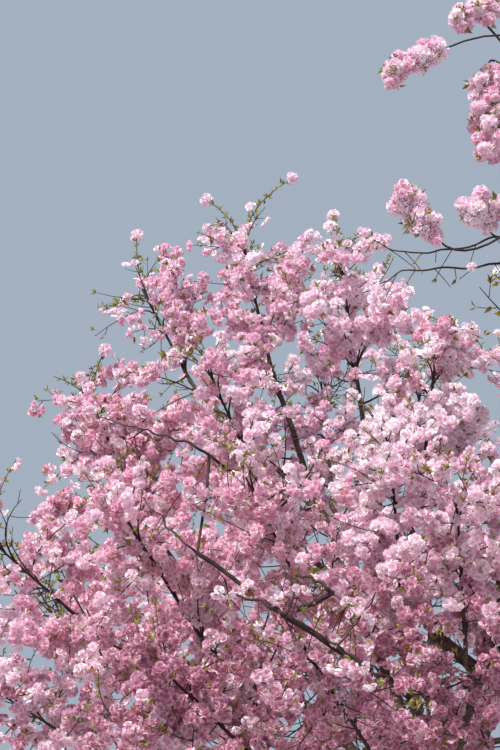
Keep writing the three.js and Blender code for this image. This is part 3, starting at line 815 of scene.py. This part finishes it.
def twig_ways(limb, draw):
    spin = draw() * 2 * math.pi
    side = unit(np.cross(FIRST_ACROSS, limb.end_way))
    third = np.cross(limb.end_way, side)
    shown = limb.middle[0] < TWIGS["east"] and limb.middle[1] < TWIGS["north"]
    count = TWIGS["shown"] if shown else TWIGS["hidden"]
    for i in range(count):
        rise = 1 - 1.5 * (i + 0.5) / count
        round_share = math.sqrt(1 - rise * rise)
        angle = spin + i * GOLDEN_ANGLE
        across = math.cos(angle) * side + math.sin(angle) * third
        yield rise * limb.end_way + round_share * across


def edge_point(limb, way):
    share = 0.35
    while share < 0.93:
        further = limb.middle + way * limb.spread * (share + 0.05)
        if room_at(further, limb)[0] <= EDGE_ROOM:
            break
        share += 0.05
    return limb.middle + way * limb.spread * share


def twig_curve(limb, target, draw):
    start = limb.tip + CLEAR * limb.end_way
    end = limb.middle + limb.end_way * limb.spread * STEM["end"]
    outward = unit(target - limb.middle) @ limb.end_way
    share = min(max(0.5 + 0.42 * outward + 0.1 * (draw() - 0.5), 0.12), 0.95)
    root = start + (end - start) * share
    length = float(np.linalg.norm(root - target))
    return (root, root + limb.end_way * length * 0.35 + UP * length * 0.12, target), length


def between(limits, share):
    """A value at a share of the way from the least to the most."""
    return limits["least"] + (limits["most"] - limits["least"]) * share


def garland(length, bare, size, draw):
    """Where the blossom swells along a twig, and how wide."""
    count = max(BLOSSOM["fewest"], math.floor(length * (1 - bare) / (BLOSSOM["pitch"] * size) + 0.5))
    widest = between(BLOSSOM, draw()) * size
    end = BLOSSOM["end"] / count
    shares, widths = [], []
    for i in range(count):
        shares.append(bare + (1 - bare) * (end + (1 - 2 * end) * i / (count - 1)))
        widths.append(widest * (1 - SWELL_TAPER * (i + 1) / count) * (0.85 + 0.3 * draw()))
        for _ in range(3):
            draw()
    return shares, widths


twigs = []
knots = []
tufts = []
leaf_shoots = []


def add_twig(curve, radius, steps, tip=TWIG_TIP):
    shares = np.linspace(0, 1, steps)
    twigs.append((on_bend(curve, shares), radius + (tip - radius) * shares))


def turned(way, angle):
    """The way square to a twig that lies at an angle round it."""
    side = unit(np.cross(way, FIRST_ACROSS))
    return math.cos(angle) * side + math.sin(angle) * np.cross(way, side)


def tone_of(limb, point, chance):
    """The tone of a spray: 0 pale, 1 deep or 2 nearly white. The tone is drawn at random, but its odds
    paint light and shade: the pale share rises with height and towards the sunny east side of the crown.
    """
    height = (point[2] - limb.middle[2]) / limb.spread
    # Painted sunlight: sprays on the east side of the crown and in its upper part get more pale and nearly
    # white tones.
    sunny = min(max(point[0] + 1.1, -0.6), 1) * min(max((point[2] - 3) / 1.2, -0.5), 1)
    _, paler, height_light, nearly_white = MASS_FULLNESS_AND_LIGHT.get(limb.name, USUAL_FULLNESS_AND_LIGHT)
    pale = 0.45 + height_light * height + 0.4 * sunny + paler
    # The near plumes get a fixed, lower pale share. Their deep pink is painted light for the sun that
    # shines through them.
    if point[1] < PLUME["before"]:
        pale = PLUME["pale"]
    if chance.random() > pale:
        return 1
    return 2 if chance.random() < nearly_white * min(pale, 1) else 0


def flower_along(curve, length, bare, limb, space, tone, every, chance):
    """Knots of flowers on short spurs, wound round a twig from the end of its bare foot to its tip."""
    count = max(1, round(length * (1 - bare) / every))
    spin = chance.random() * 2 * math.pi
    for i in range(count):
        share = bare + (1 - bare) * (i + 0.2 + 0.6 * chance.random()) / count
        way = bend_way(curve, share)
        axis = unit(turned(way, spin + i * GOLDEN_ANGLE) + 0.35 * way - 0.1 * UP)
        spur = on_bend(curve, share)
        flowers = SPUR_FLOWERS["least"] + int(chance.random() * SPUR_FLOWERS["more"])
        knots.append((spur, axis, limb, space, tone, flowers))
        if chance.random() < LEAFY:
            leaf_way = unit(axis + 0.5 * way + 0.3 * UP)
            tufts.append((spur + LEAF_SHOOT * leaf_way, leaf_way, 3, LARGE_LEAF))
            leaf_shoots.append((spur, LEAF_SHOOT * leaf_way))
    flowers = TIP_FLOWERS["least"] + int(chance.random() * TIP_FLOWERS["more"])
    knots.append((curve[2], bend_way(curve, 1), limb, space, tone, flowers))


def side_twig(root, way, length, limb, space, every, radius, chance):
    """A side twig that curves up a little. It is cut shorter, or left out, where it would leave the
    space or touch a limb."""
    for share in CUTS_BACK:
        reach = length * share
        lift = unit(way + 0.35 * UP)
        curve = (root, root + way * reach * 0.5, root + (way + lift) * reach * 0.5)
        if room_at(on_bend(curve, np.array([0.5, 1.0])), limb, space).min() > LEAST_ROOM:
            add_twig(curve, radius, 4)
            tone = tone_of(limb, curve[2], chance)
            flower_along(curve, reach, SIDE_TWIG["bare"], limb, space, tone, every, chance)
            if chance.random() < 0.4:
                leaves = int(chance.integers(2, 5))
                tufts.append((curve[2], lift, leaves, SMALL_LEAF + 0.5 * chance.random()))
            return


def flowering(curve, length, bare, shares, widths, limb, space, radius, fullness, chance):
    """Blossom round a twig: side twigs as long as the swells are wide, and knots on the twig itself."""
    add_twig(curve, radius, 8)
    spin = chance.random() * 2 * math.pi
    every = KNOT_EVERY / fullness
    count = max(1, round(length * (1 - bare) / SIDE_TWIG["every"] * fullness))
    for i in range(count):
        share = bare + (1 - bare) * (i + chance.random()) / count * 0.97
        way = bend_way(curve, share)
        side_way = unit(0.8 * turned(way, spin + i * GOLDEN_ANGLE) + 0.6 * way)
        reach = np.interp(share, shares, widths) * (0.55 + 0.45 * chance.random())
        side_twig(on_bend(curve, share), side_way, reach, limb, space, every, SIDE_TWIG["radius"], chance)
    flower_along(curve, length, bare, limb, space, tone_of(limb, curve[2], chance), every, chance)


for limb in limbs.values():
    draw = stream(TREE_SEED + limb.index * 101)
    chance = np.random.default_rng(TREE_SEED + limb.index)
    fullness = MASS_FULLNESS_AND_LIGHT.get(limb.name, USUAL_FULLNESS_AND_LIGHT)[0]
    stem_start = limb.tip + CLEAR * limb.end_way
    stem_end = limb.middle + limb.end_way * limb.spread * STEM["end"]
    stem = (stem_start, (stem_start + stem_end) / 2, stem_end)
    add_twig(stem, BOUGH_TIP, 8, STEM["tip"])
    carriers = []
    for way in twig_ways(limb, draw):
        curve, length = twig_curve(limb, edge_point(limb, way), draw)
        carriers.append(curve)
        bare = between(BARE, draw())
        swells = garland(length, bare, limb.spread / USUAL_SPREAD, draw)
        flowering(curve, length, bare * 0.6, *swells, limb, OWN_SPACE, TWIGS["radius"], fullness, chance)
    # Shoots above the crown, with a small pompom at the tip and leaves along them.
    for _, *place in (row for row in SHOOTS if row[0] == limb.name):
        curve, length = twig_curve(limb, place_of(*place), draw)
        add_twig(curve, SHOOT["radius"], 12)
        way = bend_way(curve, 1)
        for i in range(4):
            axis = unit(turned(way, i * GOLDEN_ANGLE) + (1.1 - 0.6 * i) * way)
            knots.append((on_bend(curve, 1 - 0.03 / length), axis, limb, OPEN_AIR, 0, 3))
        count = round(length * 0.7 / SHOOT["leaf_every"])
        for i in range(count):
            share = 0.28 + 0.66 * (i + chance.random()) / count
            outwards = turned(bend_way(curve, share), i * 2.6)
            tufts.append((on_bend(curve, share), unit(outwards + 0.8 * UP), 3, LARGE_LEAF))
    # Side twigs on the stem itself.
    for i in range(round(limb.spread * STEM_TWIG["per_metre"] * fullness)):
        root = on_bend(stem, 0.1 + 0.9 * chance.random())
        lean = unit(unit(chance.normal(size=3)) + 0.3 * limb.end_way)
        reach = between(STEM_TWIG, chance.random())
        every = KNOT_EVERY / fullness
        side_twig(root, lean, reach, limb, OWN_SPACE, every, STEM_TWIG["radius"], chance)
    # Thin leafy whips, almost without flowers, that end short of the mass's edge.
    for i in range(round(limb.spread * WHIP["per_metre"])):
        carrier = carriers[i % len(carriers)]
        root = on_bend(carrier, 0.3 + 0.55 * chance.random())
        outwards = unit(root - limb.middle)
        aside = unit(np.cross(outwards, chance.normal(size=3)))
        reach = between(WHIP, chance.random())
        from_middle = root + unit(0.55 * outwards + 0.6 * aside + 0.4 * UP) * reach - limb.middle
        furthest = limb.spread + WHIP["past"]
        tip = limb.middle + from_middle * min(1, furthest / np.linalg.norm(from_middle))
        if limb_room(tip[None])[0] < LEAST_ROOM or in_opening(tip[None], chance)[0]:
            continue
        curve = (root, (root + tip) / 2 + (0.4 * outwards - 0.3 * aside) * reach * 0.3, tip)
        add_twig(curve, WHIP["radius"], 7)
        for leafy_share in np.arange(0.5, 1.0, 0.045 / reach):
            leaf_way = unit(turned(bend_way(curve, leafy_share), 40 * leafy_share) + 0.6 * UP)
            tufts.append((on_bend(curve, leafy_share), leaf_way, 2, SMALL_LEAF))
        if chance.random() < 0.25:
            knots.append((tip, bend_way(curve, 1), limb, ANYWHERE, 0, 3))
    # Boughlets along the bough: in flower where light reaches them, bare and forked in the heart.
    count = round(limb_length(limb) * (1 - BOUGHLET["first"]) / BOUGHLET["every"] * fullness)
    for i in range(count):
        share = BOUGHLET["first"] + (1 - BOUGHLET["first"]) * (i + chance.random()) / count
        way = cubic_way(limb.curve, share)
        outwards = turned(way, i * GOLDEN_ANGLE)
        root = on_limb(limb, share) + outwards * limb_radius(limb, share) * 0.6
        reach = between(BOUGHLET, chance.random())
        heart = (0, 0, np.clip(root[2], BARE_HEART["lowest"], BARE_HEART["highest"]))
        depth = np.linalg.norm(root - heart)
        bare = chance.random() > (depth - BARE_HEART["within"]) / BARE_HEART["fade"]
        if not bare:
            knots.append((root + outwards * 0.02, outwards, limb, BETWEEN_MASSES, 1, 4))
        for cut in CUTS_BACK:
            target = root + unit(outwards + 0.35 * way + 0.2 * UP) * reach * cut
            curve = (root, root + unit(outwards + 0.1 * way) * reach * cut * 0.45, target)
            outer_half = on_bend(curve, np.array([0.5, 0.75, 1.0]))
            if room_at(outer_half, limb, BETWEEN_MASSES).min() > BOUGHLET["room"]:
                break
        else:
            continue
        if not bare:
            swells = ([0, 1], [BOUGHLET["width"]] * 2)
            row = (curve, reach * cut, BOUGHLET["bare"], *swells, limb, BETWEEN_MASSES)
            flowering(*row, BOUGHLET["radius"] * cut**0.5, fullness, chance)
            continue
        add_twig(curve, BOUGHLET["radius"] * 0.8, 8)
        for fork in (0.35, 0.55, 0.75):
            root = on_bend(curve, fork)
            way = unit(turned(bend_way(curve, fork), 20 * fork) + 0.8 * bend_way(curve, fork))
            tip = root + way * 0.3 * (1 - 0.5 * fork)
            if limb_room(tip[None])[0] > LEAST_ROOM:
                add_twig((root, (root + tip) / 2 + 0.02 * UP, tip), SIDE_TWIG["radius"], 5)

limb_shares = np.linspace(0.25, 0.97, 25)
limb_places = [(limb, share, on_limb(limb, share)) for limb in limbs.values() for share in limb_shares]
chance = np.random.default_rng(TREE_SEED + 100)
for target in np.array(FILLS):
    costs = [
        np.linalg.norm(target - place) + 0.8 * max(0, place[2] - target[2] + 0.15)
        for _, _, place in limb_places
    ]
    limb, share, root = limb_places[int(np.argmin(costs))]
    length = float(np.linalg.norm(target - root))
    curve = (root, root + (cubic_way(limb.curve, share) + unit(target - root)) * length * 0.25, target)
    bare = max(0.15, 1 - FILL["long"] / length)
    row = (curve, length, bare, [0, 1], [FILL["width"]] * 2, limb, ANYWHERE)
    flowering(*row, FILL["radius"], FILL["fullness"], chance)

# Thin dead shoots round the first stub, close behind its sawn end, where it was cut back many times.
stub_foot, stub_way, stub_length, stub_radius = stub_parts(*STUBS[0])
collar = stub_foot + stub_way * (stub_length - DEAD_SHOOT["back"])
for i in range(DEAD_SHOOT["count"]):
    side = turned(stub_way, i * GOLDEN_ANGLE)
    foot = collar + 0.8 * stub_radius * side
    reach = DEAD_SHOOT["least"] + DEAD_SHOOT["more"] * chance.random()
    way = unit(side + 0.3 * stub_way)
    curve = (foot, foot + way * reach * 0.5, foot + unit(way + 0.4 * UP) * reach)
    add_twig(curve, DEAD_SHOOT["radius"], 6)

# The near plumes: a bare twig from the near mass's stem to each foot, then packed blossom.
near = limbs["near"]
near_fork = near.middle - 0.1 * near.end_way
for foot, tip, width, lead in NEAR_PLUMES:
    foot, tip = np.array(foot), np.array(tip)
    bare_length = float(np.linalg.norm(foot - near_fork))
    before = foot + unit(foot - tip) * bare_length * lead
    add_twig((near_fork, before, foot), PLUME["root"], 12, PLUME["foot"])
    length = float(np.linalg.norm(tip - foot))
    curve = (foot, (foot + tip) / 2 + 0.03 * UP, tip)
    row = (curve, length, 0.0, [0, 1], [width] * 2, near, ANYWHERE)
    flowering(*row, PLUME["radius"], PLUME["fullness"], chance)

# The bare wood, with thin leafy twigs that hang from it and a flower knot here and there.
wood_places = [(limb, place) for limb, _, place in limb_places]
for foot_radius, places in BARE_WOOD:
    target = np.array(places[0])
    limb, root = min(wood_places, key=lambda row: np.linalg.norm(row[1] - target))
    path = np.array([root, *places])
    along = np.linspace(0, len(path) - 1, BARE_WOOD_POINTS)
    line = np.stack([np.interp(along, np.arange(len(path)), path[:, axis]) for axis in range(3)], 1)
    wander = 0.03 * np.linalg.norm(np.diff(path[1:], axis=0), axis=1).mean()
    line += wander * np.sin(along[:, None] * np.array([5.1, 4.3, 6.7]))
    twigs.append((line, np.linspace(foot_radius, foot_radius / 3, BARE_WOOD_POINTS)))
    wood_places += [(limb, place) for place in line]
    for root in line[8:29:3]:
        way = unit(np.array([chance.normal(), chance.normal(), -1.5]))
        reach = BARE_WOOD_TWIG["least"] + BARE_WOOD_TWIG["more"] * chance.random()
        tip = root + way * reach
        add_twig((root, root + way * reach * 0.5 + 0.01 * UP, tip), BARE_WOOD_TWIG["radius"], 4)
        tufts.append((tip, way, 2, SMALL_LEAF))
        if chance.random() < 0.3:
            knots.append((tip, way, limb, ANYWHERE, 0, 3))

# Young bark is thin and plum-brown, smooth enough for a dull shine.
TWIG_BARK_SCALE = 14.0
twig_bark = new_material("young_cherry_bark")
twig_nodes = twig_bark.node_tree
twig_place = add_node(twig_nodes, "ShaderNodeTexCoord").outputs["Object"]
twig_noise = add_node(
    twig_nodes, "ShaderNodeTexNoise", {"Vector": twig_place, "Scale": TWIG_BARK_SCALE, "Detail": 2.0}
)
twig_tone = add_node(twig_nodes, "ShaderNodeValToRGB", {0: twig_noise})
for end, position, colour in zip(twig_tone.color_ramp.elements, (0.35, 0.7), ("221516", "432d2b")):
    end.position = position
    end.color = linear(colour)
finish_material(twig_bark, {"Base Color": twig_tone, "Roughness": 0.6, "Specular IOR Level": 0.25})

# Each line of points becomes a tube, as thick as its points say.
twig_tubes, tube_in = new_tree(
    "twig_tubes", {"Sides": "Int", "Thickness share": "Float", "Bark": "Material"}
)
lines = add_node(twig_tubes, "GeometryNodeMeshToCurve", {"Mesh": tube_in["Geometry"]})
thickness = add_node(
    twig_tubes, "GeometryNodeInputNamedAttribute", {"Name": "thickness"}, data_type="FLOAT"
)
scaled = add_node(
    twig_tubes, "ShaderNodeMath", {0: thickness, 1: tube_in["Thickness share"]}, operation="MULTIPLY"
)
ring_of_sides = {"Resolution": tube_in["Sides"], "Radius": 1.0}
section = add_node(twig_tubes, "GeometryNodeCurvePrimitiveCircle", ring_of_sides)
swept = {"Curve": lines, "Profile Curve": section, "Scale": scaled, "Fill Caps": True}
tubes = add_node(twig_tubes, "GeometryNodeCurveToMesh", swept)
end_tree(twig_tubes, tubes, tube_in["Bark"])


def line_object(name, rows):
    """Loose lines, one for each twig, with the twig's radius at each of its points."""
    ends = np.cumsum([0] + [len(points) for points, _ in rows]).tolist()
    edges = [(v, v + 1) for first, end in zip(ends, ends[1:]) for v in range(first, end - 1)]
    mesh = bpy.data.meshes.new(name)
    mesh.from_pydata(np.concatenate([points for points, _ in rows]).tolist(), edges, [])
    give(mesh, "thickness", "FLOAT", np.concatenate([radii for _, radii in rows]))
    return link_object(name, mesh)


FINE_TWIG = 0.0055
for piece_name, rows, tube_sides in (
    ("twigs", [row for row in twigs if row[1][0] > FINE_TWIG], 6),
    ("fine_twigs", [row for row in twigs if row[1][0] <= FINE_TWIG], 3),
):
    tube_values = {"Sides": tube_sides, "Thickness share": 1.0, "Bark": twig_bark}
    piece = grown(line_object(piece_name, rows), twig_tubes, tube_values)
    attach(piece, "root")


# Blossom: every spur carries a cluster of three to six double flowers, each on a stalk of its own,
# which face out from it and nod a little. A flower is a ruffled cup of pale outer petals round
# deeper inner ones, about 60 mm across, which is a fifth larger than life.
FLOWER_RADIUS = 0.0305
STALK = {"least": 0.028, "most": 0.05}
KNOT_SPREAD = 1.15
NOD = 0.25
FLOWER_VARIANTS = 5
# Painted light and shade in the petal colours: blossom in the high zone gets paler colours, and blossom in
# the low zone deeper, darker ones for the shade under the crown. In each zone, tone 1 is deep and tone 2
# nearly white, which are in part shaded and lit copies of the pale tone. Each pair gives the outer and the
# inner petals.
LIT_AND_SHADED_ZONES = {"high": 5.6, "middle": 4.0, "low": 0}
PETAL_COLOURS = {
    ("high", 0): ("fcf6f9", "f5d2e2"),
    ("high", 1): ("f9e8f0", "e9b1ca"),
    ("high", 2): ("fefbfc", "fae7ef"),
    ("middle", 0): ("fcf3f7", "f2c9db"),
    ("middle", 1): ("f7dde7", "e3a3bd"),
    ("middle", 2): ("fefafb", "f9e3eb"),
    ("low", 0): ("f1dfe7", "dda3bc"),
    ("low", 1): ("e1b4c6", "bb7391"),
    ("low", 2): ("fbf0f5", "f1cbda"),
}


def zone_of(limb):
    for zone, height in LIT_AND_SHADED_ZONES.items():
        if limb.middle[2] >= height:
            return zone


def quaternions(ways, spins):
    """Turns that point +Z along each way, after a spin about it."""
    w = 1 + ways[:, 2]
    upside = w < 1e-6
    align = np.stack([np.where(upside, 0, w), np.where(upside, 1, -ways[:, 1]), ways[:, 0], 0 * w], 1)
    align = unit(align)
    half = spins / 2
    c, s = np.cos(half), np.sin(half)
    aw, ax, ay, az = align.T
    return np.stack([aw * c - az * s, ax * c + ay * s, ay * c - ax * s, az * c + aw * s], 1)


def point_object(name, places, turns, sizes):
    """Loose points, each with the turn and the size of the shape that is planted on it."""
    mesh = bpy.data.meshes.new(name)
    mesh.vertices.add(len(places))
    mesh.vertices.foreach_set("co", places.astype(np.float32).ravel())
    give(mesh, "turn", "QUATERNION", turns)
    give(mesh, "size", "FLOAT_VECTOR", np.broadcast_to(sizes, places.shape))
    return link_object(name, mesh)


# Each point of a piece gets one of a few like shapes, picked by a fixed seed, turned and sized.
planting, plant_in = new_tree(
    "planting", {"Shapes": "Collection", "Seed": "Int", "Size": "Float", "Finish": "Material"}
)
shape_values = {"Collection": plant_in["Shapes"], "Separate Children": True, "Reset Children": True}
shapes = add_node(planting, "GeometryNodeCollectionInfo", shape_values)
pick = add_node(
    planting, "FunctionNodeRandomValue", {"Seed": plant_in["Seed"], 4: 0, 5: 1000}, data_type="INT"
)
point_turn = add_node(
    planting, "GeometryNodeInputNamedAttribute", {"Name": "turn"}, data_type="QUATERNION"
)
point_size = add_node(
    planting, "GeometryNodeInputNamedAttribute", {"Name": "size"}, data_type="FLOAT_VECTOR"
)
whole_size = add_node(
    planting, "ShaderNodeVectorMath", {0: point_size, "Scale": plant_in["Size"]}, operation="SCALE"
)
planted = {
    "Points": plant_in["Geometry"],
    "Instance": shapes,
    "Pick Instance": True,
    "Instance Index": pick.outputs[2],
    "Rotation": point_turn,
    "Scale": whole_size,
}
end_tree(planting, add_node(planting, "GeometryNodeInstanceOnPoints", planted), plant_in["Finish"])


def shape_set(name, makers):
    """A collection of small meshes, one for each variant."""
    found = bpy.data.collections.new(name)
    bpy.context.scene.collection.children.link(found)
    for i, (points, faces) in enumerate(makers):
        mesh = bpy.data.meshes.new(f"{name}_{i}")
        mesh.from_pydata(points, [], faces)
        found.objects.link(bpy.data.objects.new(f"{name}_{i}", mesh))
    return found


def remove_set(found):
    for thing in list(found.objects):
        bpy.data.objects.remove(thing)
    bpy.data.collections.remove(found)


def petal_ring(petals, corners, turn, chance):
    """A ring of petals of one or two faces each. corners holds (reach, height, half angle) of a
    petal's foot and edge, and the petals are not quite alike."""
    points, faces = [], []
    for i in range(petals):
        angle = turn + 2 * math.pi * (i + 0.2 * (chance.random() - 0.5)) / petals
        stretch = 0.88 + 0.24 * chance.random()
        lift = 0.3 * (chance.random() - 0.5)
        start = len(points)
        for reach, rise, aside in corners:
            frill = 0.16 * reach * (chance.random() - 0.5)
            x, y = math.cos(angle + aside), math.sin(angle + aside)
            points.append((stretch * reach * x, stretch * reach * y, rise + reach * lift + frill))
        faces += [(start, start + i - 1, start + i) for i in range(2, len(corners))]
    return points, faces


OUTER_CORNERS = ((0.2, -0.22, 0.5), (0.94, 0.04, -0.6), (1.0, 0.16, 0.0), (0.94, 0.04, 0.6))
INNER_CORNERS = ((0.04, -0.04, 0.0), (0.64, 0.46, -0.78), (0.64, 0.46, 0.78))
petal_chance = np.random.default_rng(TREE_SEED)
outer_petals = shape_set(
    "outer_petals", [petal_ring(5, OUTER_CORNERS, i, petal_chance) for i in range(FLOWER_VARIANTS)]
)
inner_petals = shape_set(
    "inner_petals", [petal_ring(4, INNER_CORNERS, i + 0.5, petal_chance) for i in range(FLOWER_VARIANTS)]
)

THROUGH_STAIN = (1.0, 0.82, 0.93, 1.0)
THROUGH_PETALS = 0.4


def petal_finish(name, colour):
    """Thin petals with a soft dry face. Two fifths of the light goes through, and comes out pinker."""
    base = linear(colour)
    stained = tuple(np.array(base) * THROUGH_STAIN)
    face = {"Base Color": base, "Roughness": 0.7, "Sheen Weight": 0.15}
    return finish_material(new_material(name), face, stained, THROUGH_PETALS)


flower_chance = np.random.default_rng(TREE_SEED + 1)
flower_rows = []
for base, axis, limb, space, tone, count in knots:
    spin = flower_chance.random() * 2 * math.pi
    side = unit(np.cross(axis, FIRST_ACROSS))
    third = np.cross(axis, side)
    for i in range(count):
        lean = KNOT_SPREAD * math.sqrt((i + 0.3) / count)
        angle = spin + i * GOLDEN_ANGLE
        way = math.cos(lean) * axis + math.sin(lean) * (math.cos(angle) * side + math.sin(angle) * third)
        stalk = between(STALK, flower_chance.random())
        flower_rows.append((*base, *(base + way * stalk), *way, limb.index, tone, space))
flower_rows = np.array(flower_rows, float)
limb_list = list(limbs.values())
kept = np.zeros(len(flower_rows), bool)
for limb in limb_list:
    for space in (OWN_SPACE, OPEN_AIR, BETWEEN_MASSES, ANYWHERE):
        own = (flower_rows[:, 9] == limb.index) & (flower_rows[:, 11] == space)
        if own.any():
            kept[own] = room_at(flower_rows[own, 3:6], limb, space) > FLOWER_RADIUS * 0.5
kept &= ~in_opening(flower_rows[:, 3:6], flower_chance)
flower_rows = flower_rows[kept]
flower_count = len(flower_rows)
flower_bases, flower_places = flower_rows[:, :3], flower_rows[:, 3:6]
scatter = 0.25 * flower_chance.normal(size=(flower_count, 3))
flower_ways = unit(flower_rows[:, 6:9] - NOD * UP + scatter)
flower_sizes = FLOWER_RADIUS * (0.88 + 0.24 * flower_chance.random(flower_count))
flower_turns = quaternions(flower_ways, flower_chance.random(flower_count) * 2 * math.pi)
zone_names = list(LIT_AND_SHADED_ZONES)
limb_zones = np.array([zone_names.index(zone_of(limb)) for limb in limb_list])
flower_zones = limb_zones[flower_rows[:, 9].astype(int)]

# Each zone and tone, with its painted light or shade, becomes two pieces: outer and inner petals.
for (zone, tone), colours in PETAL_COLOURS.items():
    own = (flower_zones == zone_names.index(zone)) & (flower_rows[:, 10] == tone)
    tone_name = ("pale", "deep", "palest")[tone]
    for ring, petals, colour in zip(("outer", "inner"), (outer_petals, inner_petals), colours):
        name = f"{zone}_{tone_name}_{ring}_petals"
        finish = petal_finish(f"{name}_petal", colour)
        piece = grown(
            point_object(name, flower_places[own], flower_turns[own], flower_sizes[own][:, None]),
            planting,
            {"Shapes": petals, "Seed": TREE_SEED, "Size": 1.0, "Finish": finish},
        )
        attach(piece, "root")
        if tone == 0 and ring == "outer":
            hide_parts(*[f"{limb.name}_blossom" for limb in limb_list if zone_of(limb) == zone])
remove_set(outer_petals)
remove_set(inner_petals)


# Flower stalks: a thin green stalk from the spur to each flower, as a narrow blade that widens into
# the cup that holds the petals. Young leaf shoots start on stalks of the same make.
STALK_CUP = 0.0035
stalk_shape = shape_set("stalk_shape", [([(0, 0, 0), (-1, 0, 1), (1, 0, 1)], [(0, 1, 2)])])
stalk_face = {"Base Color": linear("b3a970"), "Roughness": 0.55}
green_stalk = finish_material(new_material("green_flower_stalk"), stalk_face)
leaf_shoot_rows = np.array(leaf_shoots)
stalk_feet = np.concatenate([flower_bases, leaf_shoot_rows[:, 0]])
stalk_runs = np.concatenate([flower_places - flower_bases, leaf_shoot_rows[:, 1]])
stalk_lengths = np.linalg.norm(stalk_runs, axis=1)
stalk_turns = quaternions(unit(stalk_runs), stalk_lengths * 900)
stalk_sizes = np.stack([np.full(len(stalk_runs), STALK_CUP)] * 2 + [stalk_lengths], 1)
stalks = grown(
    point_object("flower_stalks", stalk_feet, stalk_turns, stalk_sizes),
    planting,
    {"Shapes": stalk_shape, "Seed": TREE_SEED, "Size": 1.0, "Finish": green_stalk},
)
remove_set(stalk_shape)
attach(stalks, "root")


# Young leaves: tufts of narrow pointed leaves opening at the twig tips and along the long shoots,
# bronze when they open and yellow-green soon after.
LEAF_LENGTH = 0.051
THROUGH_LEAVES = 0.35
BRONZE_SHARE = 0.4


def leaf_shape(width, fold, droop):
    """A pointed leaf of four faces, folded along its rib and curved down towards its tip."""
    points = [(0, 0, 0), (0, -0.4 * droop, 0.55), (0, -droop, 1), (-width, fold, 0.45), (width, fold, 0.45)]
    return points, [(0, 1, 3), (1, 2, 3), (0, 4, 1), (1, 4, 2)]


leaf_shapes = shape_set(
    "leaf_shapes", [leaf_shape(0.2, 0.12, 0.1), leaf_shape(0.24, 0.08, 0.25), leaf_shape(0.17, 0.16, 0.0)]
)
leaf_rows = []
leaf_chance = np.random.default_rng(TREE_SEED + 2)
for base, axis, count, size in tufts:
    spin = leaf_chance.random() * 2 * math.pi
    for i in range(count):
        outwards = turned(axis, spin + i * GOLDEN_ANGLE)
        way = unit(axis + (0.35 + 0.5 * leaf_chance.random()) * outwards)
        leaf_rows.append((*base, *way, size * (0.7 + 0.6 * leaf_chance.random()), leaf_chance.random()))
leaf_rows = np.array(leaf_rows)
leaf_rows = leaf_rows[~in_opening(leaf_rows[:, :3], leaf_chance) | (leaf_rows[:, 6] > 0.75)]
for name, colour, own in (
    ("bronze_leaves", "86652f", leaf_rows[:, 7] < BRONZE_SHARE),
    ("green_leaves", "90923c", leaf_rows[:, 7] >= BRONZE_SHARE),
):
    tint = linear(colour)
    leaf_face = {"Base Color": tint, "Roughness": 0.5}
    young_leaf = finish_material(new_material(f"{name[:-7]}_young_leaf"), leaf_face, tint, THROUGH_LEAVES)
    turns = quaternions(leaf_rows[own, 3:6], leaf_rows[own, 7] * 40)
    piece = grown(
        point_object(name, leaf_rows[own, :3], turns, leaf_rows[own, 6:7]),
        planting,
        {"Shapes": leaf_shapes, "Seed": TREE_SEED + 3, "Size": LEAF_LENGTH, "Finish": young_leaf},
    )
    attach(piece, "root")
remove_set(leaf_shapes)

visual_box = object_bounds()
boxes = {"cad": cad_box, "visual": visual_box}
{key: [list(corner) for corner in box] for key, box in boxes.items()}
